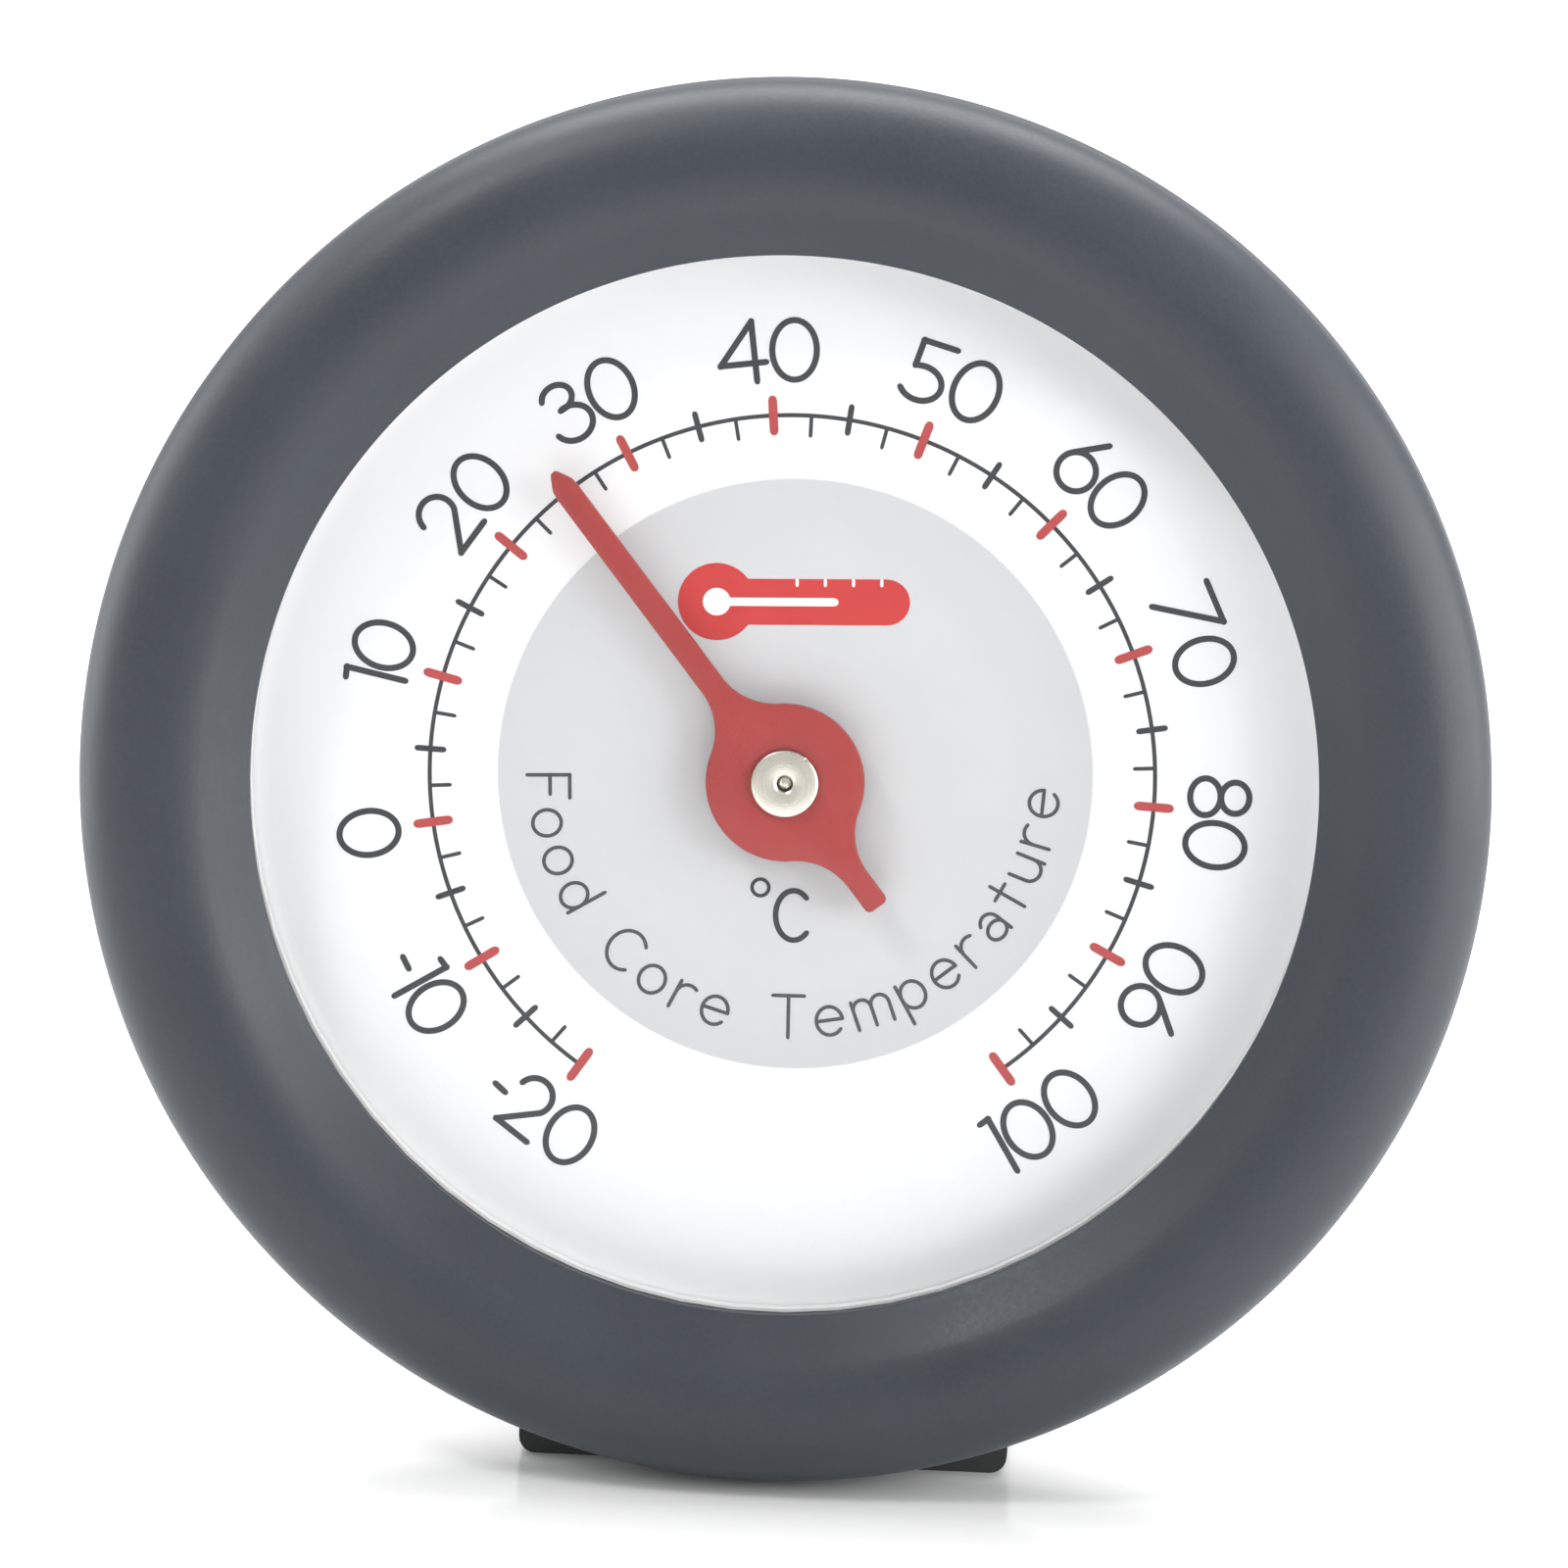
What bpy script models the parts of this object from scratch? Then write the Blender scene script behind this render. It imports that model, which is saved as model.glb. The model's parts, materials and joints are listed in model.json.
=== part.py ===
# A dial probe thermometer lying in its sheath: a bimetal coil in the stem turns the pointer.
# Metres, +Z up. The instrument's own axis is local Y: the dial faces -Y, the stem runs to +Y.
# The sheath rests on its foot and on its tail, so the dial leans back by tilt.
import math
import bpy
import bmesh
from mathutils import Vector

for old in list(bpy.data.objects):
    bpy.data.objects.remove(old, do_unlink=True)

mm = 0.001

# ---- driving dimensions ----
tilt = math.radians(8.1)            # the axis runs down to the tail by this angle
head_turned = math.radians(-2.1)    # the head, turned on the stem against the foot
pointer_turned = math.radians(-38.8)  # the pointer at room temperature, from straight up
head_radius = 25.0 * mm             # outside of the grip ring
opening_radius = 18.9 * mm          # where the grip ring meets the lens
ring_band = 1.45 * mm               # where the ring's straight band ends and its back begins
heel_radius = 23.0 * mm             # where the round heel at the back of the ring ends
heel_depth = 1.9 * mm
cone_end = (21.1 * mm, 4.45 * mm)   # radius and depth of the ring's back edge
ring_clearance = 0.10 * mm          # under the grip ring, when the foot stands on the table
case_radius = 20.3 * mm
case_wall = 0.4 * mm
case_back = 5.1 * mm                # outer face of the case's back, along the axis
case_step = 0.3 * mm                # the middle of the back stands out by this much
lens_rim_front = -0.08 * mm         # the lens's rim, between the snap ring and the gasket
lens_rim_back = 0.40 * mm
dial_front = 1.70 * mm
dial_thickness = 0.4 * mm
stem_radius = 1.9 * mm
stem_wall = 0.3 * mm
stem_end = 131.0 * mm               # tip of the stem
shaft_radius = 0.4 * mm
shaft_thin = 0.24 * mm              # its thin end, in the pointer's bush
shaft_end = 84.0 * mm
ferrule_radius = 2.5 * mm
ferrule_front = 3.6 * mm
ferrule_end = 12.8 * mm
nut_flats = 9.0 * mm                # across the flats of the hexagon
nut_back = 11.2 * mm
sleeve_radius = 4.75 * mm
sleeve_bore = 2.4 * mm
sleeve_start = 14.2 * mm
sleeve_end = 149.0 * mm
foot_width = 17.5 * mm
toe_gap_width = 9.2 * mm            # between the foot's two toes
plate_front = 5.7 * mm              # front face of the sheath's plate, behind the case
toe_front = 2.7 * mm                # front face of the foot's two toes, under the rim

# ---- working clearances and mesh fineness ----
seat_gap = 0.06 * mm                # between pieces that are fitted together
running_gap = 0.10 * mm             # between pieces that turn or slide on each other
wide_segments = 64
small_segments = 24
shaft_segments = 12
anchor_segments = 16
sleeve_segments = 36
room_segments = 96
merge_distance = 1e-7
smooth_below = math.radians(32)

# ---- finishes: colour, roughness, metallic ----
soft_grey = ((0.085, 0.093, 0.104), 0.55, 0.0)
shell_grey = ((0.060, 0.060, 0.058), 0.48, 0.0)
clear_plastic = ((0.92, 0.94, 0.95), 0.06, 0.0)
black_rubber = ((0.03, 0.03, 0.03), 0.70, 0.0)
white_plastic = ((0.78, 0.78, 0.76), 0.50, 0.0)
white_enamel = ((0.83, 0.83, 0.83), 0.42, 0.0)
pointer_red = ((0.53, 0.09, 0.095), 0.42, 0.0)
nickel = ((0.76, 0.72, 0.67), 0.28, 1.0)
stainless = ((0.62, 0.62, 0.61), 0.30, 1.0)
spring_steel = ((0.45, 0.45, 0.46), 0.35, 1.0)
brass = ((0.72, 0.53, 0.26), 0.32, 1.0)
bimetal = ((0.55, 0.47, 0.40), 0.38, 1.0)


# ---- helpers ----
def add_part(name, mesh, finish, parent):
    """One named object with its own material, from a bmesh in its parent's frame."""
    bmesh.ops.remove_doubles(mesh, verts=mesh.verts, dist=merge_distance)
    bmesh.ops.recalc_face_normals(mesh, faces=mesh.faces)
    data = bpy.data.meshes.new(name)
    mesh.to_mesh(data)
    mesh.free()
    data.shade_smooth()
    data.set_sharp_from_angle(angle=smooth_below)
    colour, roughness, metallic = finish
    material = bpy.data.materials.new(name + " finish")
    material.use_nodes = True
    shader = material.node_tree.nodes["Principled BSDF"]
    shader.inputs["Base Color"].default_value = (*colour, 1.0)
    shader.inputs["Roughness"].default_value = roughness
    shader.inputs["Metallic"].default_value = metallic
    data.materials.append(material)
    part = bpy.data.objects.new(name, data)
    part.parent = parent
    bpy.context.scene.collection.objects.link(part)
    return part


def add_axis(name, parent=None, place=(0, 0, 0), turn=(0, 0, 0)):
    """An empty that a body hangs on."""
    empty = bpy.data.objects.new(name, None)
    empty.location = place
    empty.rotation_euler = turn
    empty.parent = parent
    bpy.context.scene.collection.objects.link(empty)
    return empty


def arc(centre, radii, start, end, steps):
    """Points on an ellipse in the (radius, y) plane, from start to end in degrees."""
    points = []
    for step in range(steps + 1):
        angle = math.radians(start + (end - start) * step / steps)
        points.append((centre[0] + radii[0] * math.cos(angle), centre[1] + radii[1] * math.sin(angle)))
    return points


def turned(profile, segments):
    """A (radius, y) profile spun about the axis: a loop, or a chain with both ends on the axis."""
    mesh = bmesh.new()
    verts = [mesh.verts.new((radius, y, 0)) for radius, y in profile]
    edges = [mesh.edges.new(pair) for pair in zip(verts, verts[1:])]
    if profile[0][0] > 0:
        edges.append(mesh.edges.new((verts[-1], verts[0])))
    bmesh.ops.spin(
        mesh, geom=verts + edges, cent=(0, 0, 0), axis=(0, 1, 0),
        angle=2 * math.pi, steps=segments, use_merge=True,
    )
    return mesh


def ring(inner, outer, front, back, segments=wide_segments):
    """A plain ring of rectangular section."""
    return turned([(inner, front), (outer, front), (outer, back), (inner, back)], segments)


def prism(outline, front, back):
    """An (x, z) outline extruded along the axis."""
    mesh = bmesh.new()
    face = mesh.faces.new([mesh.verts.new((x, front, z)) for x, z in outline])
    moved = bmesh.ops.extrude_face_region(mesh, geom=[face])["geom"]
    bmesh.ops.translate(
        mesh, verts=[v for v in moved if isinstance(v, bmesh.types.BMVert)], vec=(0, back - front, 0)
    )
    return mesh


def slab(outline, half_width):
    """A (y, z) outline extruded sideways, half_width to either side of the axis."""
    mesh = bmesh.new()
    face = mesh.faces.new([mesh.verts.new((-half_width, y, z)) for y, z in outline])
    moved = bmesh.ops.extrude_face_region(mesh, geom=[face])["geom"]
    bmesh.ops.translate(
        mesh, verts=[v for v in moved if isinstance(v, bmesh.types.BMVert)], vec=(2 * half_width, 0, 0)
    )
    return mesh


def polygon(radius, sides):
    """Corners of a regular (x, z) polygon."""
    corners = []
    for side in range(sides):
        angle = 2 * math.pi * side / sides
        corners.append((radius * math.cos(angle), radius * math.sin(angle)))
    return corners


def boolean(target, other, operation):
    """Cut or join one object with another, which is kept as a hidden guide."""
    other.display_type = 'WIRE'
    other.hide_render = True
    modifier = target.modifiers.new(operation.title() + " " + other.name, 'BOOLEAN')
    modifier.operation = operation
    modifier.object = other


def cut_at_table(mesh):
    """Take off what would reach below the table, and close the cut with one flat face."""
    bmesh.ops.remove_doubles(mesh, verts=mesh.verts, dist=merge_distance)
    down = Vector((0, math.sin(tilt), -math.cos(tilt)))
    everything = mesh.verts[:] + mesh.edges[:] + mesh.faces[:]
    cut = bmesh.ops.bisect_plane(
        mesh, geom=everything, plane_co=down * head_height, plane_no=down, clear_outer=True
    )
    rim = [edge for edge in cut["geom_cut"] if isinstance(edge, bmesh.types.BMEdge)]
    bmesh.ops.edgeloop_fill(mesh, edges=rim)
    bmesh.ops.recalc_face_normals(mesh, faces=mesh.faces)


# ---- the head ----
def ring_profile():
    """Section of the grip ring: a sloping collar, a crease, a round shoulder and a coned back."""
    crest_radius = 22.1 * mm
    crest_bulge = 3.07 * mm
    crest_front = -2.3 * mm
    crease_angle = -121.4
    lip_front = -0.75 * mm
    lip_back = -0.38 * mm
    collar = (19.7 * mm, -1.24 * mm)
    back_edge = (20.8 * mm, 4.6 * mm)
    bore = case_radius + seat_gap
    shoulder = head_radius - crest_radius
    crest_centre = (crest_radius, crest_front + crest_bulge)
    profile = [(opening_radius, lip_front), collar]
    profile += arc(crest_centre, (crest_bulge, crest_bulge), crease_angle, -90, 4)
    profile += arc((crest_radius, 0), (shoulder, -crest_front), -90, 0, 8)[1:]
    profile += arc((heel_radius, ring_band), (head_radius - heel_radius, heel_depth), 0, 90, 6)
    profile += [cone_end, back_edge, (bore, back_edge[1]), (bore, lip_back), (opening_radius, lip_back)]
    return profile


def make_grip_ring():
    add_part("grip_ring", turned(ring_profile(), wide_segments), soft_grey, head)


def make_case():
    """Pressed cup, rolled over at the front and holed at the back for the ferrule."""
    inside = case_radius - case_wall
    hole = ferrule_radius + running_gap
    front = -0.10 * mm
    bend = 0.8 * mm
    rim_back = case_back - case_step
    step_radius = 12.4 * mm
    step_slope = 0.8 * mm
    inner_step = step_radius - 0.2 * mm
    profile = [(inside, front), (case_radius, front)]
    profile += arc((case_radius - bend, rim_back - bend), (bend, bend), 0, 90, 3)
    profile += [(step_radius + step_slope, rim_back), (step_radius, case_back), (hole, case_back)]
    profile += [(hole, case_back - case_wall), (inner_step, case_back - case_wall)]
    profile += [(inner_step + step_slope, rim_back - case_wall), (inside, rim_back - case_wall)]
    add_part("case_cup", turned(profile, wide_segments), stainless, head)


def make_lens_parts():
    """The domed lens with its rim, the snap ring in front of the rim and the gasket behind it."""
    inside = case_radius - case_wall - seat_gap
    snap_inner = opening_radius + 0.08 * mm
    snap_front = -0.32 * mm
    snap_back = lens_rim_front - 0.08 * mm
    snap = ring(snap_inner, inside + case_wall, snap_front, snap_back)
    add_part("lens_snap_ring", snap, spring_steel, head)
    step = opening_radius - 0.12 * mm
    pocket = step - 0.6 * mm
    face_front = -0.58 * mm
    face_back = 0.08 * mm
    crown = 0.22 * mm
    profile = []
    for share in (0.0, 0.25, 0.5, 0.75, 1.0):
        profile.append((step * share, face_front - crown * (1 - share ** 2)))
    profile += [(step, lens_rim_front), (inside, lens_rim_front)]
    profile += [(inside, lens_rim_back), (pocket, lens_rim_back)]
    for share in (1.0, 0.5, 0.0):
        profile.append((pocket * share, face_back - crown * (1 - share ** 2)))
    add_part("lens", turned(profile, wide_segments), clear_plastic, head)
    gasket_inner = 19.1 * mm
    gasket_back = 0.92 * mm
    gasket = ring(gasket_inner, inside, lens_rim_back + seat_gap, gasket_back)
    add_part("lens_gasket", gasket, black_rubber, head)


def make_dial_parts():
    """The printed dial between its two spacers."""
    inside = case_radius - case_wall - seat_gap
    dial_back = dial_front + dial_thickness
    dial_hole = 1.2 * mm
    spacer_inner = 19.0 * mm
    spacer_front = 0.98 * mm
    seat_inner = 17.4 * mm
    spacer = ring(spacer_inner, inside, spacer_front, dial_front - seat_gap)
    add_part("dial_spacer", spacer, white_plastic, head)
    dial = ring(dial_hole, inside, dial_front, dial_back)
    add_part("dial_plate", dial, white_enamel, head)
    seat_back = case_back - case_step - case_wall - seat_gap
    seat = ring(seat_inner, inside, dial_back + seat_gap, seat_back)
    add_part("dial_seat_ring", seat, white_plastic, head)


# ---- the movement: what turns with the temperature ----
def make_pointer():
    """Flat red needle with a round hub and a square tail, the inner corners filled round."""
    front = 0.55 * mm
    thickness = 0.35 * mm
    hub = 2.82 * mm
    needle_half = 0.45 * mm
    tip = 13.6 * mm
    tip_half = 0.12 * mm
    tip_point = 0.9 * mm
    tail_half = 0.435 * mm
    tail = 5.54 * mm
    tail_corner = 0.15 * mm
    fillet = 2.3 * mm
    hub_hole = 0.85 * mm

    def side(half, steps):
        """Outline from the straight edge down the fillet to where it meets the hub."""
        reach = math.sqrt((hub + fillet) ** 2 - (half + fillet) ** 2)
        end = math.atan2(reach, half + fillet)
        points = []
        for step in range(steps + 1):
            angle = math.pi + end * step / steps
            points.append((half + fillet + fillet * math.cos(angle), reach + fillet * math.sin(angle)))
        return points

    up = [(tip_half, tip), (needle_half, tip - tip_point)] + side(needle_half, 5)
    down = [(tail_half - tail_corner, tail), (tail_half, tail - tail_corner)] + side(tail_half, 5)
    first = math.atan2(up[-1][1], up[-1][0])
    last = -math.atan2(down[-1][1], down[-1][0])
    hub_steps = 6
    hub_points = []
    for step in range(1, hub_steps):
        angle = first + (last - first) * step / hub_steps
        hub_points.append((hub * math.cos(angle), hub * math.sin(angle)))
    right = up + hub_points + [(x, -z) for x, z in reversed(down)]
    outline = right + [(-x, z) for x, z in reversed(right)]
    pointer = add_part("pointer", prism(outline, front, front + thickness), pointer_red, movement)
    drill = prism(polygon(hub_hole, small_segments), front - mm, front + thickness + mm)
    boolean(pointer, add_part("pointer_drill", drill, nickel, movement), 'DIFFERENCE')


def make_pointer_bush():
    """Turned bush that is pressed on the shaft and carries the pointer."""
    flange = 1.2 * mm
    flange_front = 0.25 * mm
    flange_back = 0.49 * mm
    chamfer_width = 0.10 * mm
    chamfer_depth = 0.08 * mm
    shank = 0.79 * mm
    shank_end = 1.55 * mm
    bore = shaft_thin + 0.05 * mm
    profile = [(bore, flange_front), (flange - chamfer_width, flange_front)]
    profile += [(flange, flange_front + chamfer_depth), (flange, flange_back), (shank, flange_back)]
    profile += [(shank, shank_end), (bore, shank_end)]
    add_part("pointer_bush", turned(profile, small_segments), nickel, movement)


def make_shaft():
    """Shaft from the pointer down to the top of the coil, with a thin end in the bush."""
    front = 0.34 * mm
    thin_end = 1.62 * mm
    thick_start = 1.70 * mm
    profile = [(0, front), (shaft_thin, front), (shaft_thin, thin_end), (shaft_radius, thick_start)]
    profile += [(shaft_radius, shaft_end), (0, shaft_end)]
    add_part("pointer_shaft", turned(profile, shaft_segments), stainless, movement)
    collar_radius = 1.1 * mm
    collar_front = 80.6 * mm
    collar_back = 83.6 * mm
    collar = ring(shaft_radius + seat_gap, collar_radius, collar_front, collar_back, shaft_segments)
    add_part("coil_collar", collar, brass, movement)


# ---- the probe: the stem and what is fixed to it ----
def make_ferrule():
    """Flanged sleeve through the case's back; the nut and the stem are fixed in it."""
    flange = 5.0 * mm
    shaft_hole = shaft_radius + 0.3 * mm
    stem_seat = stem_radius + seat_gap
    seat_front = 5.4 * mm
    flange_back = case_back - case_wall - running_gap
    profile = [(shaft_hole, ferrule_front), (flange, ferrule_front), (flange, flange_back)]
    profile += [(ferrule_radius, flange_back), (ferrule_radius, ferrule_end), (stem_seat, ferrule_end)]
    profile += [(stem_seat, seat_front), (shaft_hole, seat_front)]
    add_part("stem_ferrule", turned(profile, small_segments), brass, probe)


def make_friction_washer():
    """Three-wave spring washer between the case's back and the nut."""
    inner = ferrule_radius + 0.15 * mm
    outer = 4.3 * mm
    thickness = 0.2 * mm
    waves = 3
    swing = 0.12 * mm
    middle = case_back + running_gap + swing + thickness / 2
    mesh = ring(inner, outer, middle - thickness / 2, middle + thickness / 2, sleeve_segments)
    for vert in mesh.verts:
        vert.co.y += swing * math.sin(waves * math.atan2(vert.co.z, vert.co.x))
    add_part("friction_washer", mesh, spring_steel, probe)


def make_nut():
    """Hexagon that the head is turned against, chamfered at both ends."""
    front = case_back + 0.75 * mm
    corner = nut_flats / math.sqrt(3)
    nut = add_part("calibration_nut", prism(polygon(corner, 6), front, nut_back), stainless, probe)
    hole = ferrule_radius + seat_gap
    chamfer = 0.35 * mm
    turned_to = corner - 0.1 * mm
    cone = turned_to - chamfer - 1.7 * mm
    profile = [(hole, front - mm), (cone, front - mm), (turned_to, front + chamfer)]
    profile += [(turned_to, nut_back - chamfer), (cone, nut_back + mm), (hole, nut_back + mm)]
    blank = add_part("nut_blank", turned(profile, small_segments), stainless, probe)
    boolean(nut, blank, 'INTERSECT')


def make_stem():
    """Thin tube, its plug-welded tip and the two guides that hold the shaft."""
    inner = stem_radius - stem_wall
    tube_start = 5.5 * mm
    tube_end = 127.4 * mm
    add_part("stem_tube", ring(inner, stem_radius, tube_start, tube_end, small_segments), stainless, probe)
    spigot = inner - seat_gap
    spigot_start = 125.4 * mm
    taper_start = 128.2 * mm
    nose = 0.7 * mm
    nose_centre = (0.4 * mm, stem_end - nose)
    profile = [(0, spigot_start), (spigot, spigot_start), (spigot, tube_end + seat_gap)]
    profile += [(stem_radius, tube_end + seat_gap), (stem_radius, taper_start)]
    profile += [(nose_centre[0] + nose, nose_centre[1] + 0.1 * mm)]
    profile += arc(nose_centre, (nose, nose), 10, 90, 3) + [(0, stem_end)]
    add_part("stem_tip", turned(profile, small_segments), stainless, probe)
    guide_bore = shaft_radius + 0.05 * mm
    guide_length = 3.0 * mm
    guide_starts = {"upper_guide": 9.0 * mm, "lower_guide": 75.0 * mm}
    for name, start in guide_starts.items():
        guide = ring(guide_bore, inner - seat_gap, start, start + guide_length, small_segments)
        add_part(name, guide, brass, probe)


def make_coil():
    """Bimetal helix between the shaft's collar and the anchor in the tip."""
    start = 84.6 * mm
    end = 123.4 * mm
    turns = 20
    steps_per_turn = 10
    outer = 1.36 * mm
    inner = 1.20 * mm
    half_width = 0.55 * mm
    corners = [(inner, -half_width), (outer, -half_width), (outer, half_width), (inner, half_width)]
    mesh = bmesh.new()
    last = None
    steps = turns * steps_per_turn
    for step in range(steps + 1):
        angle = 2 * math.pi * step / steps_per_turn
        y = start + (end - start) * step / steps
        section = []
        for radius, shift in corners:
            section.append(mesh.verts.new((radius * math.cos(angle), y + shift, radius * math.sin(angle))))
        if last:
            for corner in range(4):
                following = (corner + 1) % 4
                mesh.faces.new((last[corner], last[following], section[following], section[corner]))
        else:
            mesh.faces.new(section)
        last = section
    mesh.faces.new(last)
    add_part("bimetal_coil", mesh, bimetal, probe)
    anchor_radius = 1.45 * mm
    anchor_front = 124.1 * mm
    anchor_back = 125.3 * mm
    profile = [(0, anchor_front), (anchor_radius, anchor_front)]
    profile += [(anchor_radius, anchor_back), (0, anchor_back)]
    add_part("coil_anchor", turned(profile, anchor_segments), brass, probe)


# ---- the sheath ----
def make_sheath_foot():
    """Plate behind the head with a foot under the rim, a boss for the sleeve and a hexagon socket."""
    plate_back = 8.4 * mm
    plate_top = 9.0 * mm
    foot_back = 13.0 * mm
    toe_top = -22.6 * mm
    foot_top = -21.8 * mm
    deep = -30.0 * mm
    slope = 0.8 * mm
    toe_rise = 1.6 * mm
    foot_rise = 1.2 * mm
    top_round = 4.0 * mm
    bottom_round = 0.6 * mm
    half = foot_width / 2
    side = [(plate_front, plate_top), (plate_front, toe_top + toe_rise), (plate_front - slope, toe_top)]
    side += [(toe_front, toe_top), (toe_front, deep), (foot_back, deep), (foot_back, foot_top)]
    side += [(plate_back + slope, foot_top), (plate_back, foot_top + foot_rise), (plate_back, plate_top)]
    mesh = slab(side, half)
    cut_at_table(mesh)

    def long_edges(test):
        """Edges that run front to back along an outer corner."""
        chosen = []
        for edge in mesh.edges:
            a, b = (vert.co for vert in edge.verts)
            if abs(a.x - b.x) < merge_distance and abs(abs(a.x) - half) < merge_distance and test(a, b):
                chosen.append(edge)
        return chosen

    top = long_edges(lambda a, b: min(a.z, b.z) > plate_top - merge_distance)
    bmesh.ops.bevel(mesh, geom=top, offset=top_round, segments=5, profile=0.5, affect='EDGES')
    bottom = long_edges(lambda a, b: max(a.z, b.z) < toe_top - bottom_round / 2)
    bmesh.ops.bevel(mesh, geom=bottom, offset=bottom_round, segments=3, profile=0.5, affect='EDGES')
    foot = add_part("sheath_foot", mesh, shell_grey, frame)

    # room for the grip ring to turn in front of the foot, and a gap between the two toes
    rim_gap = 0.3 * mm
    heel_radii = (head_radius - heel_radius + rim_gap, heel_depth + rim_gap)
    room = [(0, 0), (head_radius + rim_gap, 0), (head_radius + rim_gap, ring_band)]
    room += arc((heel_radius, ring_band), heel_radii, 0, 90, 8)[1:]
    room += [(cone_end[0] + rim_gap, cone_end[1] + rim_gap), (0, cone_end[1] + rim_gap)]
    boolean(foot, add_part("foot_rim_room", turned(room, room_segments), shell_grey, frame), 'DIFFERENCE')
    toe_back = 3.4 * mm
    toe_gap = slab([(0, foot_top), (toe_back, foot_top), (toe_back, deep), (0, deep)], toe_gap_width / 2)
    boolean(foot, add_part("foot_toe_gap", toe_gap, shell_grey, frame), 'DIFFERENCE')

    boss_radius = 7.4 * mm
    boss_taper = 9.5 * mm
    boss_back = 20.0 * mm
    boss_end_radius = 6.3 * mm
    boss_chamfer = 0.5 * mm
    inner_face = (plate_front + plate_back) / 2
    boss = [(0, inner_face), (boss_radius, inner_face), (boss_radius, boss_taper)]
    boss += [(boss_end_radius, boss_back - 0.6 * mm), (boss_end_radius - boss_chamfer, boss_back)]
    boss += [(0, boss_back)]
    boolean(foot, add_part("foot_boss", turned(boss, sleeve_segments), shell_grey, frame), 'UNION')
    rib_half = 1.0 * mm
    rib_top = -5.0 * mm
    rib_bottom = foot_top - 0.5 * mm
    rib_back = (16.0 * mm, 12.2 * mm)
    rib_side = [(inner_face, rib_top), (rib_back[0], rib_top)]
    rib_side += [(rib_back[1], rib_bottom), (inner_face, rib_bottom)]
    boolean(foot, add_part("foot_rib", slab(rib_side, rib_half), shell_grey, frame), 'UNION')
    socket_flats = nut_flats + 0.5 * mm
    socket_back = 11.6 * mm
    socket = prism(polygon(socket_flats / math.sqrt(3), 6), plate_front - mm, socket_back)
    boolean(foot, add_part("foot_socket", socket, shell_grey, frame), 'DIFFERENCE')
    seat = sleeve_radius + seat_gap
    seat_end = sleeve_start - seat_gap
    through = ferrule_radius + 0.4 * mm
    bore = [(0, plate_front - mm), (through, plate_front - mm), (through, seat_end)]
    bore += [(seat, seat_end), (seat, boss_back + mm), (0, boss_back + mm)]
    boolean(foot, add_part("foot_bore", turned(bore, small_segments), shell_grey, frame), 'DIFFERENCE')


def make_sheath_sleeve():
    """Tube over the stem, closed but for a drain hole, with a flat where its tail rests."""
    drain = 0.9 * mm
    bore_end = 138.0 * mm
    tail_round = 1.6 * mm
    profile = [(sleeve_bore, sleeve_start), (sleeve_radius, sleeve_start)]
    tail_centre = (sleeve_radius - tail_round, sleeve_end - tail_round)
    profile += arc(tail_centre, (tail_round, tail_round), 0, 90, 5)
    profile += [(drain, sleeve_end), (drain, bore_end), (sleeve_bore, bore_end)]
    mesh = turned(profile, sleeve_segments)
    cut_at_table(mesh)
    add_part("sheath_sleeve", mesh, shell_grey, frame)


# ---- the frame: how high the head sits, and one empty for each body ----
ring_drop = max(y * math.sin(tilt) + radius * math.cos(tilt) for radius, y in ring_profile())
head_height = ring_clearance + ring_drop
frame = add_axis("sheath_frame", None, (0, 0, head_height), (-tilt, 0, 0))
probe = add_axis("probe_slide_axis", frame)
head = add_axis("head_turn_axis", probe, turn=(0, head_turned, 0))
movement = add_axis("pointer_turn_axis", probe, turn=(0, pointer_turned, 0))

make_grip_ring()
make_case()
make_lens_parts()
make_dial_parts()
make_pointer()
make_pointer_bush()
make_shaft()
make_ferrule()
make_friction_washer()
make_nut()
make_stem()
make_coil()
make_sheath_foot()
make_sheath_sleeve()

# the origin is at the middle of the footprint
bpy.context.view_layer.update()
corners = []
for part in bpy.context.scene.objects:
    if part.type == 'MESH' and not part.hide_render:
        corners += [part.matrix_world @ vert.co for vert in part.data.vertices]
lowest_y = min(corner.y for corner in corners)
highest_y = max(corner.y for corner in corners)
frame.location.y = -(lowest_y + highest_y) / 2
bpy.context.view_layer.update()
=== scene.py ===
import json
import math

import bpy
from mathutils import Matrix, Vector


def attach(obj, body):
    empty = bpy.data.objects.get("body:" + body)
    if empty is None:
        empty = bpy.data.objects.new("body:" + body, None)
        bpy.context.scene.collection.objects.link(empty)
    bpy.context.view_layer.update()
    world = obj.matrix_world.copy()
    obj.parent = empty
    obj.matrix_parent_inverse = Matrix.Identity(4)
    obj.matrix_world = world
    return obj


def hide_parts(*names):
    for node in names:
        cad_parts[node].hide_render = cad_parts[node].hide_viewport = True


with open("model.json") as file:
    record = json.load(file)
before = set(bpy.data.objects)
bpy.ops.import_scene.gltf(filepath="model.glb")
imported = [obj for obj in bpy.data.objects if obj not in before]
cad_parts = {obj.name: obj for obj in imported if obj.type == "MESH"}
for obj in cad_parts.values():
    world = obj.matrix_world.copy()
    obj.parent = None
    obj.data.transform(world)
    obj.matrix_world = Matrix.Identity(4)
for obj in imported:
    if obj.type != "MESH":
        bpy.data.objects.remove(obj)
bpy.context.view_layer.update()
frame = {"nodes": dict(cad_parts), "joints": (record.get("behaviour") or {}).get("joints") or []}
print("frame loaded with", len(frame["nodes"]), "nodes")

# everything is modelled in millimetres about the instrument's own axis:
# x to the right, y back along the stem, z up; then it is put in its place on the table
millimetre = 0.001
turnedBy = {"sheath": 0.0, "head": -2.1, "pointer": -38.8}  # degrees, clockwise from the front

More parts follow.
